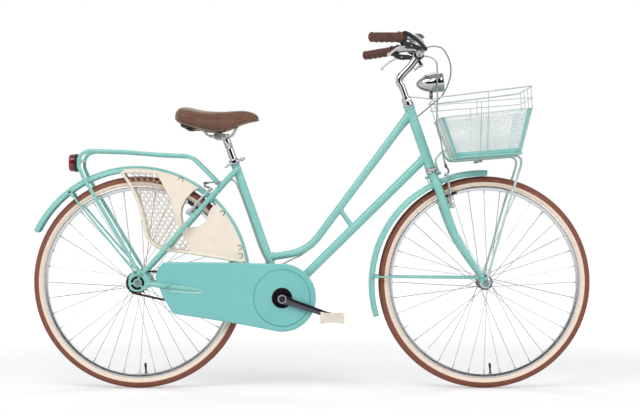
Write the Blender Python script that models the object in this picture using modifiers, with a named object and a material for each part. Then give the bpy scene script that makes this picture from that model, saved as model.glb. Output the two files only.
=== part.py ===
"""Step-through city bicycle, modelled for Blender 4.5 in metres.

+X is forward, +Z up, and the chain side faces -Y. The origin is on the ground under the bicycle's
middle. Every object in the bicycle collection is one physical piece, and empties mark the joints.
"""

import math

import bmesh
import bpy
from mathutils import Matrix, Vector

# Wheels and ground plan
WHEELBASE = 1.140
WHEEL_RADIUS = 0.350
RIM_INNER_RADIUS = 0.303
SPOKE_COUNT = 36
SPOKE_RADIUS = 0.0011
WHEEL_STEPS = 32
REAR_AXLE = Vector((-WHEELBASE / 2, 0, WHEEL_RADIUS))
FRONT_AXLE = Vector((WHEELBASE / 2, 0, WHEEL_RADIUS))
GAP = 0.0003

# Frame geometry
BRACKET = Vector((-0.0965, 0, 0.298))
HEAD_LOW = Vector((0.3948, 0, 0.7195))
HEAD_ANGLE = math.radians(70.9)
SEAT_ANGLE = math.radians(70.4)
STEER_UP = Vector((-math.cos(HEAD_ANGLE), 0, math.sin(HEAD_ANGLE)))
STEER_FORWARD = Vector((math.sin(HEAD_ANGLE), 0, math.cos(HEAD_ANGLE)))
SEAT_UP = Vector((-math.cos(SEAT_ANGLE), 0, math.sin(SEAT_ANGLE)))
HEAD_TUBE_RADIUS = 0.0163
HEAD_TUBE_START = 0.0090
HEAD_TUBE_END = 0.2225
MAIN_TUBE_RADIUS = 0.0143
UPPER_TUBE_RADIUS = 0.0115
SEAT_TUBE_LENGTH = 0.486
SEAT_STAY_RADIUS = 0.0080
CHAIN_STAY_RADIUS = 0.0090
DROPOUT_INSIDE = 0.0600
DROPOUT_THICKNESS = 0.0050
STEERER_RADIUS = 0.0127
QUILL_RADIUS = 0.0111
SEATPOST_RADIUS = 0.0127

# Drive
CRANK_LENGTH = 0.172
CRANK_ANGLE = math.radians(-19)
CHAINRING_TEETH = 44
SPROCKET_TEETH = 18
CHAIN_PITCH = 0.0127
CHAIN_LINE = -0.0450
CHAIN_HEIGHT = 0.0085
CHAIN_WIDTH = 0.0080
CASE_FACE = -0.0600

# Mudguards, as an outer radius about a centre near each axle
GUARD_HALF_WIDTH = 0.0275
GUARD_DEPTH = 0.0190
GUARD_SHEET = 0.0015
REAR_GUARD_RADIUS = 0.3775
FRONT_GUARD_RADIUS = 0.3770
REAR_GUARD_CENTRE = REAR_AXLE + Vector((-0.0100, 0, 0.0073))
FRONT_GUARD_CENTRE = FRONT_AXLE + Vector((-0.0060, 0, -0.0060))

# Handlebar
BAR_RADIUS = 0.0111
BAR_CENTRE = Vector((0.3533, 0, 1.1019))
GRIP_FRONT = Vector((0.2800, 0.2050, 1.1375))
GRIP_END = Vector((0.1850, 0.2800, 1.1290))

# Colours, roughness and metallic value of each finish
FINISHES = {
    "turquoise_paint": ((0.224, 0.610, 0.515), 0.35, 0.0),
    "chrome": ((0.60, 0.60, 0.60), 0.12, 1.0),
    "steel": ((0.42, 0.42, 0.43), 0.35, 1.0),
    "dark_steel": ((0.06, 0.05, 0.05), 0.45, 0.8),
    "black_plastic": ((0.018, 0.017, 0.016), 0.45, 0.0),
    "brown_rubber": ((0.190, 0.060, 0.048), 0.60, 0.0),
    "brown_leather": ((0.180, 0.075, 0.048), 0.50, 0.0),
    "cream_vinyl": ((0.830, 0.740, 0.600), 0.50, 0.0),
    "tyre_rubber": ((0.250, 0.100, 0.075), 0.80, 0.0),
    "rim_alloy": ((0.52, 0.52, 0.52), 0.30, 1.0),
    "red_plastic": ((0.450, 0.012, 0.015), 0.20, 0.0),
    "clear_lens": ((0.80, 0.82, 0.84), 0.08, 0.0),
    "pedal_resin": ((0.700, 0.670, 0.580), 0.45, 0.0),
    "basket_sheet": ((0.560, 0.690, 0.660), 0.40, 0.2),
    "cable_grey": ((0.250, 0.250, 0.250), 0.40, 0.0),
}


def clear_scene():
    for old in list(bpy.data.objects):
        bpy.data.objects.remove(old, do_unlink=True)


def make_collection(name):
    collection = bpy.data.collections.new(name)
    bpy.context.scene.collection.children.link(collection)
    return collection


def make_finish(name):
    colour, roughness, metallic = FINISHES[name]
    finish = bpy.data.materials.new(name)
    finish.use_nodes = True
    shader = finish.node_tree.nodes["Principled BSDF"]
    shader.inputs["Base Color"].default_value = (*colour, 1.0)
    shader.inputs["Roughness"].default_value = roughness
    shader.inputs["Metallic"].default_value = metallic
    return finish


clear_scene()
PARTS = make_collection("bicycle")
CUTTERS = make_collection("cutters")
MATERIALS = {name: make_finish(name) for name in FINISHES}


# Places along the two main axes
def steer(along, side=0.0, forward=0.0):
    """A point along the steering axis from the lower headset, moved sideways and forward of it."""
    return HEAD_LOW + STEER_UP * along + STEER_FORWARD * forward + Vector((0, side, 0))


def seat(along, side=0.0):
    """A point along the seat tube's axis from the bottom bracket."""
    return BRACKET + SEAT_UP * along + Vector((0, side, 0))


def around(centre, radius, angle, side=0.0):
    """A point at an angle in degrees about a centre in the bicycle's plane, from +X towards +Z."""
    turn = math.radians(angle)
    return centre + Vector((radius * math.cos(turn), side, radius * math.sin(turn)))


def sided(vector, side):
    """The vector on the given side, -1 for the chain side and 1 for the other."""
    return Vector((vector[0], side * vector[1], vector[2]))


def there_and_back(points):
    """Points on the +Y side, ending at the middle plane, followed by their mirror images."""
    points = [Vector(p) for p in points]
    back = [sided(p, -1) for p in reversed(points)]
    if abs(points[-1].y) < 1e-9:
        back = back[1:]
    return points + back


def smooth_path(points, count):
    """A Catmull-Rom curve through the points, sampled evenly along each span's parameter."""
    points = [Vector(p) for p in points]
    first = points[0] * 2 - points[1]
    last = points[-1] * 2 - points[-2]
    padded = [first, *points, last]
    spans = len(points) - 1
    path = []
    for step in range(count):
        place = step * spans / (count - 1)
        span = min(int(place), spans - 1)
        t = place - span
        a, b, c, d = padded[span : span + 4]
        path.append(
            (b * 2 + (c - a) * t + (a * 2 - b * 5 + c * 4 - d) * t**2 + (b * 3 - a - c * 3 + d) * t**3)
            / 2
        )
    return path


def bent_path(points, radius, steps=5):
    """Straight runs between the points with an arc of the given radius at each corner."""
    points = [Vector(p) for p in points]
    path = [points[0]]
    for before, corner, after in zip(points, points[1:], points[2:]):
        back = (before - corner).normalized()
        ahead = (after - corner).normalized()
        half = back.angle(ahead) / 2
        reach = radius / math.tan(half)
        reach = min(reach, 0.48 * (before - corner).length, 0.48 * (after - corner).length)
        bend = reach * math.tan(half)
        centre = corner + (back + ahead).normalized() * (bend / math.sin(half))
        start = corner + back * reach - centre
        end = corner + ahead * reach - centre
        sweep = start.angle(end)
        for step in range(steps + 1):
            t = step / steps
            mixed = start * math.sin((1 - t) * sweep) + end * math.sin(t * sweep)
            path.append(centre + mixed / math.sin(sweep))
    path.append(points[-1])
    return path


# Modelling operations
def place(shape, finish):
    PARTS.objects.link(shape)
    shape.data.materials.clear()
    shape.data.materials.append(MATERIALS[finish])
    return shape


def mesh_from(name, build, finish):
    """An object from a function that fills a bmesh."""
    shape_mesh = bpy.data.meshes.new(name)
    work = bmesh.new()
    build(work)
    work.to_mesh(shape_mesh)
    work.free()
    return place(bpy.data.objects.new(name, shape_mesh), finish)


def tube(name, path, radius, finish, sides=12, radii=None, closed=False):
    """A round tube along a path, with filled caps, and radii as factors of the radius."""
    curve = bpy.data.curves.new(name, "CURVE")
    curve.dimensions = "3D"
    curve.bevel_depth = radius
    curve.bevel_resolution = (sides - 4) // 2
    curve.use_fill_caps = not closed
    spline = curve.splines.new("POLY")
    spline.points.add(len(path) - 1)
    spline.use_cyclic_u = closed
    for index, point in enumerate(path):
        spline.points[index].co = (*point, 1)
        if radii:
            spline.points[index].radius = radii[index]
    return place(bpy.data.objects.new(name, curve), finish)


def rod(name, start, end, radius, finish, sides=12, end_radius=None):
    """A straight round rod or cone between two points."""
    start, end = Vector(start), Vector(end)
    along = end - start

    def build(work):
        bmesh.ops.create_cone(
            work,
            cap_ends=True,
            segments=sides,
            radius1=radius,
            radius2=radius if end_radius is None else end_radius,
            depth=along.length,
        )

    shape = mesh_from(name, build, finish)
    shape.location = (start + end) / 2
    shape.rotation_euler = along.to_track_quat("Z", "Y").to_euler()
    return shape


def box(name, size, centre, finish, turn=0.0):
    """A box with a size along X, Y and Z, turned about Y in degrees."""

    def build(work):
        bmesh.ops.create_cube(work, size=1.0)
        bmesh.ops.scale(work, vec=size, verts=work.verts)

    shape = mesh_from(name, build, finish)
    shape.location = centre
    shape.rotation_euler = (0, math.radians(turn), 0)
    return shape


def strip(name, start, end, width, thickness, finish):
    """A flat bar between two points of one side-on plane, its width along Y."""
    start, end = Vector(start), Vector(end)
    along = end - start
    turn = -math.degrees(math.atan2(along.z, along.x))
    return box(name, (along.length, width, thickness), (start + end) / 2, finish, turn)


def turned(name, profile, centre, axis, finish, steps=24, closed=False, angle=360.0, first=None):
    """A profile of (radius, height) points turned about an axis with a Screw modifier.

    The turn starts from the first direction where one is given.
    """

    def build(work):
        verts = [work.verts.new((radius, 0, height)) for radius, height in profile]
        for one, two in zip(verts, verts[1:]):
            work.edges.new((one, two))
        if closed:
            work.edges.new((verts[-1], verts[0]))

    shape = mesh_from(name, build, finish)
    shape.location = centre
    axis = Vector(axis)
    if first:
        shape.rotation_euler = Matrix((first, axis.cross(first), axis)).transposed().to_euler()
    else:
        shape.rotation_euler = axis.to_track_quat("Z", "Y").to_euler()
    screw = shape.modifiers.new("turn", "SCREW")
    screw.axis = "Z"
    screw.angle = math.radians(angle)
    screw.steps = steps
    screw.render_steps = steps
    screw.use_merge_vertices = True
    screw.merge_threshold = 0.00001
    return shape


def plate(name, outlines, thickness, centre, frame, finish):
    """Flat outlines, the first outer and the others holes, extruded to a thickness.

    The frame is the plate's own x and y directions in the world.
    """
    curve = bpy.data.curves.new(name, "CURVE")
    curve.dimensions = "2D"
    curve.fill_mode = "BOTH"
    curve.extrude = thickness / 2
    for outline in outlines:
        spline = curve.splines.new("POLY")
        spline.points.add(len(outline) - 1)
        spline.use_cyclic_u = True
        spline.use_smooth = False
        for index, (x, y) in enumerate(outline):
            spline.points[index].co = (x, y, 0, 1)
    shape = place(bpy.data.objects.new(name, curve), finish)
    across, up = Vector(frame[0]), Vector(frame[1])
    turn = Matrix((across, up, across.cross(up))).transposed()
    shape.matrix_world = Matrix.Translation(centre) @ turn.to_4x4()
    return shape


SIDE_ON = ((1, 0, 0), (0, 0, 1))


def circle(radius, count, centre=(0.0, 0.0), start=0.0):
    """Points of a circle for an outline."""
    turns = [math.radians(start) + 2 * math.pi * step / count for step in range(count)]
    return [(centre[0] + radius * math.cos(t), centre[1] + radius * math.sin(t)) for t in turns]


def arc(centre, radius, start, end, count):
    """Points of an arc between two angles in degrees, for an outline."""
    turns = [math.radians(start + (end - start) * step / (count - 1)) for step in range(count)]
    return [(centre[0] + radius * math.cos(t), centre[1] + radius * math.sin(t)) for t in turns]


def as_mesh(shape):
    """The shape as the viewport shows it, as a mesh object with its caps welded."""
    bpy.context.view_layer.update()
    graph = bpy.context.evaluated_depsgraph_get()
    solid = bpy.data.meshes.new_from_object(shape.evaluated_get(graph))
    work = bmesh.new()
    work.from_mesh(solid)
    bmesh.ops.remove_doubles(work, verts=work.verts, dist=0.000001)
    work.to_mesh(solid)
    work.free()
    name = shape.name
    matrix = shape.matrix_world.copy()
    finish = shape.data.materials[0]
    bpy.data.objects.remove(shape, do_unlink=True)
    solid.materials.clear()
    solid.materials.append(finish)
    mesh_shape = bpy.data.objects.new(name, solid)
    mesh_shape.matrix_world = matrix
    PARTS.objects.link(mesh_shape)
    return mesh_shape


def boolean(shape, other, operation):
    step = shape.modifiers.new(operation.lower(), "BOOLEAN")
    step.operation = operation
    step.object = other
    step.solver = "EXACT"


def fuse(shapes):
    """One mesh from shapes that are welded together, named as the first."""
    shapes = [as_mesh(shape) for shape in shapes]
    base = shapes[0]
    for other in shapes[1:]:
        boolean(base, other, "UNION")
    base = as_mesh(base)
    for other in shapes[1:]:
        bpy.data.objects.remove(other, do_unlink=True)
    return base


def cut(shape, cutters):
    """Cutters taken from a mesh shape by modifiers that stay on it."""
    for cutter in cutters:
        cutter = as_mesh(cutter)
        PARTS.objects.unlink(cutter)
        CUTTERS.objects.link(cutter)
        cutter.hide_render = True
        cutter.display_type = "WIRE"
        cutter.parent = shape
        cutter.matrix_parent_inverse = shape.matrix_world.inverted()
        boolean(shape, cutter, "DIFFERENCE")
    return shape


def carve(shape, cutters):
    """Cutters taken from a mesh shape that is then fused to others."""
    cutters = [as_mesh(cutter) for cutter in cutters]
    for cutter in cutters:
        boolean(shape, cutter, "DIFFERENCE")
    shape = as_mesh(shape)
    for cutter in cutters:
        bpy.data.objects.remove(cutter, do_unlink=True)
    return shape


def join(shapes):
    """Separate bodies in one mesh, to be fused to a piece that carries them all."""
    shapes = [as_mesh(shape) for shape in shapes]
    work = bmesh.new()
    for shape in shapes:
        shape.data.transform(shape.matrix_world)
        work.from_mesh(shape.data)
    base = shapes[0]
    base.matrix_world = Matrix.Identity(4)
    work.to_mesh(base.data)
    work.free()
    for other in shapes[1:]:
        bpy.data.objects.remove(other, do_unlink=True)
    return base


def soften(shape, width, segments=1, angle=40.0):
    """Rounded edges by a Bevel on the sharp ones."""
    bevel = shape.modifiers.new("soften", "BEVEL")
    bevel.width = width
    bevel.segments = segments
    bevel.limit_method = "ANGLE"
    bevel.angle_limit = math.radians(angle)
    return shape


def shade(piece):
    """Smooth shading with the sharp edges kept."""
    for polygon in piece.data.polygons:
        polygon.use_smooth = True
    piece.data.set_sharp_from_angle(angle=math.radians(35.0))


def pivot(name, location, axis, children, parent=None):
    """An empty on a joint, its Z along the joint's axis, that carries the moving pieces."""
    empty = bpy.data.objects.new(name, None)
    PARTS.objects.link(empty)
    empty.empty_display_size = 0.05
    empty.location = location
    empty.rotation_euler = Vector(axis).to_track_quat("Z", "Y").to_euler()
    bpy.context.view_layer.update()
    for child in children:
        child.parent = empty
        child.matrix_parent_inverse = empty.matrix_world.inverted()
    if parent:
        empty.parent = parent
        empty.matrix_parent_inverse = parent.matrix_world.inverted()
    return empty


# Wheels
TYRE_PROFILE = [
    (0.3103, 0.0105), (0.3175, 0.0105), (0.3275, 0.0187), (0.3440, 0.0140), (WHEEL_RADIUS, 0.0),
    (0.3440, -0.0140), (0.3275, -0.0187), (0.3175, -0.0105), (0.3103, -0.0105),
]
RIM_PROFILE = [
    (RIM_INNER_RADIUS, 0.0105), (0.3170, 0.0125), (0.3100, 0.0108),
    (0.3100, -0.0108), (0.3170, -0.0125), (RIM_INNER_RADIUS, -0.0105),
]
AXLE_RADIUS = 0.0050
FLANGE_SIDE = 0.0340
FLANGE_RADIUS = 0.0190
SPOKE_HOLE_RADIUS = 0.0165
SPOKE_CROSSING = 60.0
FRONT_HUB_PROFILE = [
    (0.0054, 0.0470), (0.0105, 0.0470), (FLANGE_RADIUS, 0.0360), (FLANGE_RADIUS, 0.0320),
    (0.0120, 0.0270), (0.0120, -0.0270), (FLANGE_RADIUS, -0.0320), (FLANGE_RADIUS, -0.0360),
    (0.0105, -0.0470), (0.0054, -0.0470),
]
REAR_HUB_PROFILE = [
    (0.0054, 0.0500), (0.0110, 0.0500), (FLANGE_RADIUS, 0.0360), (FLANGE_RADIUS, 0.0320),
    (0.0140, 0.0270), (0.0140, -0.0270), (FLANGE_RADIUS, -0.0320), (FLANGE_RADIUS, -0.0360),
    (0.0140, -0.0380), (0.0140, -0.0520), (0.0054, -0.0520),
]


def laced_hub(name, axle, profile):
    """A hub with three-cross spokes: on each flange every second spoke leans the other way."""
    hub = turned(name, profile, axle, (0, 1, 0), "steel", steps=10, closed=True)
    spokes = []
    for hole in range(SPOKE_COUNT):
        side = 1 if hole % 2 else -1
        leaning = 1 if (hole // 2) % 2 else -1
        rim_angle = 360.0 * hole / SPOKE_COUNT
        hub_angle = rim_angle + leaning * SPOKE_CROSSING
        root = around(axle, SPOKE_HOLE_RADIUS, hub_angle, side * (FLANGE_SIDE + leaning * 0.0017))
        tip = around(axle, RIM_INNER_RADIUS - 0.0022, rim_angle, side * 0.0030)
        spokes.append(rod(f"{name}_spoke_{hole}", root, tip, SPOKE_RADIUS, "steel", sides=3))
    return fuse([hub, join(spokes)])


def wheel(end, axle, hub_profile):
    """The hub and spokes, the rim with its valve, and the tyre of one wheel."""
    hub = laced_hub(f"{end}_hub", axle, hub_profile)
    rim = turned(f"{end}_rim", RIM_PROFILE, axle, (0, 1, 0), "rim_alloy", WHEEL_STEPS, closed=True)
    valve_root = around(axle, 0.3060, -86.0)
    valve_tip = around(axle, 0.2680, -86.0)
    valve = rod(f"{end}_valve", valve_root, valve_tip, 0.0030, "rim_alloy", sides=6)
    tyre = turned(f"{end}_tyre", TYRE_PROFILE, axle, (0, 1, 0), "tyre_rubber", WHEEL_STEPS, closed=True)
    return [hub, fuse([rim, valve]), tyre]


# Frame
UPPER_TUBE_CORNER = Vector((-0.0151, 0, 0.4513))
UPPER_TUBE_PATH = bent_path([steer(0.200), UPPER_TUBE_CORNER, seat(0.148)], 0.196, steps=7)
BRACE_TOP = Vector((0.0916, 0, 0.5920))
BRACE_FOOT = Vector((0.1370, 0, 0.5278))
SEAT_STAY = [(-0.2480, 0.0120, 0.7253), (-0.2900, 0.0400, 0.6780), (-0.5550, 0.0625, 0.3796)]
CHAIN_STAY = [(-0.5450, 0.0625, 0.3476), (-0.4000, 0.0560, 0.3310), (-0.1115, 0.0240, 0.2997)]
SEAT_STAY_UP = Vector((0.6640, 0, 0.7477))
REAR_BRAKE_OUT = Vector((-0.7477, 0, 0.6640))
REAR_BOSS = Vector((-0.3880, 0.0483, 0.5677))
STAY_BRIDGE = Vector((-0.3178, 0, 0.6464))
CHAIN_STAY_BRIDGE = Vector((-0.1900, 0, 0.3080))
CARRIER_EYELET = Vector((-0.5595, 0.0712, 0.3744))
STAY_EYELET = Vector((-0.5780, 0.0653, 0.3860))
DROPOUT_OUTLINE = [
    (-0.030, -0.004), (-0.027, 0.022), (-0.012, 0.038), (0.008, 0.042), (0.026, 0.030),
    (0.040, 0.012), (0.040, -0.012), (0.020, -0.024), (-0.004, -0.028), (-0.022, -0.022),
]
STUD_RADIUS = 0.0040
BOSS_RADIUS = 0.0075
BOLT_HEAD_RADIUS = 0.0065
REAR_ARM_START = 0.0160
FRONT_ARM_START = 0.0180
ARM_THICKNESS = 0.0090


def brake_stud(name, boss, out, arm_start, finish):
    """The boss, stud and bolt head that a brake arm turns on."""
    arm_end = arm_start + ARM_THICKNESS
    base = rod(f"{name}_base", boss, boss + out * (arm_start - GAP), BOSS_RADIUS, finish, sides=6)
    stud = rod(f"{name}_stud", boss, boss + out * (arm_end + 0.0020), STUD_RADIUS, finish, sides=6)
    head = rod(
        f"{name}_head", boss + out * (arm_end + GAP), boss + out * (arm_end + 0.0035),
        BOLT_HEAD_RADIUS, finish, sides=6,
    )
    return [base, stud, head]


def chain_stay_path(side):
    return bent_path([sided(p, side) for p in CHAIN_STAY], 0.20, steps=1)


def crossbar(name, centre, half, radius, finish, sides=8):
    """A round bar along Y, centred on a point."""
    centre = Vector(centre)
    return rod(name, centre - Vector((0, half, 0)), centre + Vector((0, half, 0)), radius, finish, sides)


def main_frame():
    paint = "turquoise_paint"
    head_tube = rod("main_frame", steer(HEAD_TUBE_START), steer(HEAD_TUBE_END), HEAD_TUBE_RADIUS, paint, 12)
    pieces = [
        head_tube,
        rod("seat_tube", seat(0), seat(SEAT_TUBE_LENGTH), MAIN_TUBE_RADIUS, paint, 12),
        crossbar("bracket_shell", BRACKET, 0.034, 0.0200, paint, 12),
        rod("down_tube", steer(0.049), BRACKET, MAIN_TUBE_RADIUS, paint, 8),
        tube("upper_tube", UPPER_TUBE_PATH, UPPER_TUBE_RADIUS, paint, sides=8),
        rod("cross_brace", BRACE_TOP, BRACE_FOOT, 0.0080, paint, 8),
        crossbar("stay_bridge", STAY_BRIDGE, 0.042, 0.0060, paint, 6),
        rod(
            "guard_spacer", STAY_BRIDGE,
            REAR_GUARD_CENTRE + (STAY_BRIDGE - REAR_GUARD_CENTRE).normalized() * (REAR_GUARD_RADIUS + GAP),
            0.0040, paint, 6,
        ),
        crossbar("chain_stay_bridge", CHAIN_STAY_BRIDGE, 0.034, 0.0060, paint, 6),
    ]
    for side in (-1, 1):
        plate_centre = sided((REAR_AXLE.x, DROPOUT_INSIDE + DROPOUT_THICKNESS / 2, REAR_AXLE.z), side)
        seat_stay = bent_path([sided(p, side) for p in SEAT_STAY], 0.05, steps=3)
        eyelet = sided(CARRIER_EYELET, side)
        pieces += [
            tube(f"seat_stay_{side}", seat_stay, SEAT_STAY_RADIUS, paint, sides=8),
            tube(f"chain_stay_{side}", chain_stay_path(side), CHAIN_STAY_RADIUS, paint, sides=8),
            plate(f"dropout_{side}", [DROPOUT_OUTLINE], DROPOUT_THICKNESS, plate_centre, SIDE_ON, paint),
            rod(f"eyelet_{side}", eyelet - Vector((0, side * 0.0080, 0)), eyelet, 0.0060, paint, 6),
            *brake_stud(f"boss_{side}", sided(REAR_BOSS, side), REAR_BRAKE_OUT, REAR_ARM_START, paint),
        ]
    frame = fuse(pieces)
    bores = [
        rod("head_bore", steer(-0.02), steer(0.25), 0.0135, paint, 12),
        rod("seat_bore", seat(0.290), seat(0.520), 0.0135, paint, 12),
        crossbar("bracket_bore", BRACKET, 0.05, 0.0090, paint, 12),
        crossbar("axle_bore", REAR_AXLE, 0.08, 0.0055, paint, 12),
    ]
    return cut(frame, bores)


front_wheel = wheel("front", FRONT_AXLE, FRONT_HUB_PROFILE)
rear_wheel = wheel("rear", REAR_AXLE, REAR_HUB_PROFILE)
frame = main_frame()


# Headset, fork and stem
def headset_cup(name, low, high, radius):
    profile = [(0.0133, high), (radius, high), (radius, low), (0.0133, low)]
    return turned(name, profile, HEAD_LOW, STEER_UP, "chrome", steps=12, closed=True)


FORK_BLADE = [
    steer(-0.0205, 0.0070), steer(-0.0245, 0.0240), steer(-0.0350, 0.0385), steer(-0.0550, 0.0445),
    steer(-0.1265, 0.0465), steer(-0.1750, 0.0480), Vector((0.4740, 0.0492, 0.5010)),
    Vector((0.5110, 0.0505, 0.4400)), Vector((0.5470, 0.0520, 0.3880)), Vector((0.5600, 0.0527, 0.3690)),
]
FORK_BLADE_TAPER = [0.74, 0.83, 0.95, 1.0, 0.93, 0.86, 0.76, 0.66, 0.55, 0.50]
FORK_BLADE_RADIUS = 0.0142
FRONT_BRAKE_UP = Vector((-0.1270, 0, 0.9919))
FRONT_BRAKE_OUT = Vector((0.9919, 0, 0.1270))
FRONT_BOSS = steer(-0.1265, 0.0465)
FORK_DROPOUT_INSIDE = 0.0503


def fork():
    paint = "turquoise_paint"
    pieces = [
        rod("fork", steer(-0.0220), steer(0.2500), STEERER_RADIUS, paint, 12),
        rod("crown", steer(-0.0250), steer(-0.0090), 0.0172, paint, 12),
    ]
    for side in (-1, 1):
        blade = [Vector((p.x, side * p.y, p.z)) for p in FORK_BLADE]
        boss = Vector((FRONT_BOSS.x, side * FRONT_BOSS.y, FRONT_BOSS.z))
        tip = Vector((FRONT_AXLE.x, side * (FORK_DROPOUT_INSIDE + 0.0025), FRONT_AXLE.z))
        outline = arc((0, 0), 0.0140, -150, 60, 6) + [
            (-0.002, 0.020), (-0.018, 0.024), (-0.029, 0.020), (-0.029, 0.010), (-0.018, 0.002),
        ]
        pieces += [
            tube(f"blade_{side}", blade, FORK_BLADE_RADIUS, paint, sides=8, radii=FORK_BLADE_TAPER),
            plate(f"tip_{side}", [outline], 0.0050, tip, SIDE_ON, paint),
            *brake_stud(f"fork_boss_{side}", boss, FRONT_BRAKE_OUT, FRONT_ARM_START, paint),
        ]
    body = fuse(pieces)
    bores = [
        rod("quill_bore", steer(0.160), steer(0.270), 0.0117, paint, 12),
        crossbar("front_axle_bore", FRONT_AXLE, 0.08, 0.0055, paint, 12),
    ]
    return cut(body, bores)


def axle(name, centre, hub_end, locknut_end, plate_end, end):
    """An axle with a locknut inside and a nut outside each dropout, turned as one profile."""
    half = [
        (0.0, end), (AXLE_RADIUS, end), (AXLE_RADIUS, plate_end + 0.0080), (0.0085, plate_end + 0.0070),
        (0.0085, plate_end + GAP), (AXLE_RADIUS, plate_end + GAP), (AXLE_RADIUS, locknut_end),
        (0.0085, locknut_end), (0.0085, hub_end), (AXLE_RADIUS, hub_end),
    ]
    profile = half + [(radius, -height) for radius, height in reversed(half)]
    return turned(name, profile, centre, (0, 1, 0), "steel", steps=6)


def stem():
    elbow = steer(0.3260)
    arm = smooth_path([steer(0.290), elbow, BAR_CENTRE - Vector((0.022, 0, 0.030)), BAR_CENTRE], 7)
    pieces = [
        rod("stem", steer(0.170), steer(0.318), QUILL_RADIUS, "chrome", 12),
        tube("stem_arm", arm, 0.0118, "chrome", sides=8),
        crossbar("stem_clamp", BAR_CENTRE, 0.0220, 0.0180, "chrome", 10),
        box("stem_ear", (0.012, 0.026, 0.030), BAR_CENTRE + Vector((0.004, 0, -0.026)), "chrome", turn=-30),
        rod(
            "stem_bolt", BAR_CENTRE + Vector((0.012, 0, -0.030)), BAR_CENTRE + Vector((-0.014, 0, -0.050)),
            0.0040, "chrome", 6,
        ),
    ]
    body = fuse(pieces)
    bore = crossbar("bar_bore", BAR_CENTRE, 0.05, BAR_RADIUS + 0.0018, "chrome", 12)
    return cut(body, [bore])


# Handlebar and what is on it
GRIP_LINE = (GRIP_END - GRIP_FRONT).normalized()
BAR_HALF = [
    GRIP_END - GRIP_LINE * 0.0060, GRIP_FRONT, GRIP_FRONT - GRIP_LINE * 0.0350,
    Vector((0.3330, 0.1540, 1.1395)), Vector((0.3520, 0.1180, 1.1290)), Vector((0.3600, 0.0780, 1.1130)),
    Vector((0.3560, 0.0450, 1.1035)), BAR_CENTRE + Vector((0, 0.0300, 0)), BAR_CENTRE,
]
GRIP_RADIUS = 0.0165
LEVER_CLAMP = GRIP_FRONT - GRIP_LINE * 0.0120
LEVER_PIVOT = LEVER_CLAMP - GRIP_LINE * 0.0300 - Vector((0, 0, 0.0280))
LEVER_BACK = Vector((GRIP_LINE.x, GRIP_LINE.y, 0)).normalized()
LEVER_HINGE = LEVER_BACK.cross(Vector((0, 0, 1)))
BARREL_END = LEVER_PIVOT - LEVER_BACK * 0.0480 - Vector((0, 0, 0.0060))


BAR_CURVE = smooth_path(BAR_HALF[1:], 12)


def handlebar():
    return tube("handlebar", there_and_back([BAR_HALF[0], *BAR_CURVE]), BAR_RADIUS, "chrome", sides=6)


def grip(name, side):
    """A grip with a closed end, a flared collar and a slight barrel, turned about the bar."""
    length = (GRIP_END - GRIP_FRONT).length
    profile = [
        (0.0, length), (0.0125, length), (0.0160, length - 0.0040), (GRIP_RADIUS, length - 0.0300),
        (0.0155, 0.0600), (GRIP_RADIUS, 0.0300), (0.0160, 0.0060), (0.0180, 0.0050), (0.0180, 0.0),
        (0.0122, 0.0), (0.0122, length - 0.0050), (0.0, length - 0.0050),
    ]
    front = Vector((GRIP_FRONT.x, side * GRIP_FRONT.y, GRIP_FRONT.z))
    line = Vector((GRIP_LINE.x, side * GRIP_LINE.y, GRIP_LINE.z))
    return turned(name, profile, front, line, "brown_rubber", steps=8)


def lever_bracket(name, side):
    """Clamp ring, forked body with the hinge pin, and the cable's barrel."""
    finish = "black_plastic"
    clamp = sided(LEVER_CLAMP, side)
    hinge = sided(LEVER_PIVOT, side)
    back = sided(LEVER_BACK, side)
    across = sided(LEVER_HINGE, side)
    line = sided(GRIP_LINE, side)
    ring_profile = [(0.0120, 0.0065), (0.0155, 0.0065), (0.0155, -0.0065), (0.0120, -0.0065)]
    ring = turned(name, ring_profile, clamp, line, finish, steps=12, closed=True)
    neck_top = clamp - Vector((0, 0, 0.0135))
    neck_foot = clamp - Vector((0, 0, 0.0265))
    neck = rod(f"{name}_neck", neck_top, neck_foot, 0.0070, finish, 6)
    body = rod(f"{name}_body", neck_foot, hinge, 0.0080, finish, 6)
    cheeks = rod(f"{name}_cheeks", hinge - across * 0.0080, hinge + across * 0.0080, 0.0085, finish, 8)
    barrel = rod(f"{name}_barrel", hinge - back * 0.0060, sided(BARREL_END, side), 0.0048, finish, 6)
    shape = fuse([ring, neck, body, cheeks, barrel])
    slot = plate(
        f"{name}_slot", [[(-0.0068, -0.030), (0.060, -0.030), (0.060, 0.0100), (-0.0068, 0.0100)]],
        0.0068, hinge, (back, (0, 0, 1)), finish,
    )
    shape = carve(shape, [slot])
    pin = rod(f"{name}_pin", hinge - across * 0.0070, hinge + across * 0.0070, 0.0026, finish, 6)
    return fuse([shape, pin])


def brake_lever(name, side):
    """A curved blade in the hinge's plane, ending in a ball."""
    outline = (
        arc((0, 0), 0.0058, 60, 300, 5)
        + [(0.020, -0.0050), (0.045, -0.0120), (0.068, -0.0245), (0.084, -0.0345)]
        + [(0.090, -0.0305), (0.072, -0.0180), (0.048, -0.0052), (0.022, 0.0032)]
    )
    hole = circle(0.0031, 8)
    hinge = sided(LEVER_PIVOT, side)
    back = sided(LEVER_BACK, side)
    blade = plate(name, [outline, hole], 0.0060, hinge, (back, (0, 0, 1)), "chrome")
    across = sided(LEVER_HINGE, side)
    tip = hinge + back * 0.0880 - Vector((0, 0, 0.0335))
    ball = rod(f"{name}_ball", tip - across * 0.0055, tip + across * 0.0055, 0.0058, "chrome", 8)
    return fuse([blade, ball])


BELL_CENTRE = Vector((0.3420, -0.0900, 1.1400))
BELL_AXIS = Vector((-0.35, -0.10, 0.93)).normalized()
BELL_BAR_SPAN = (6, 7)


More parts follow.
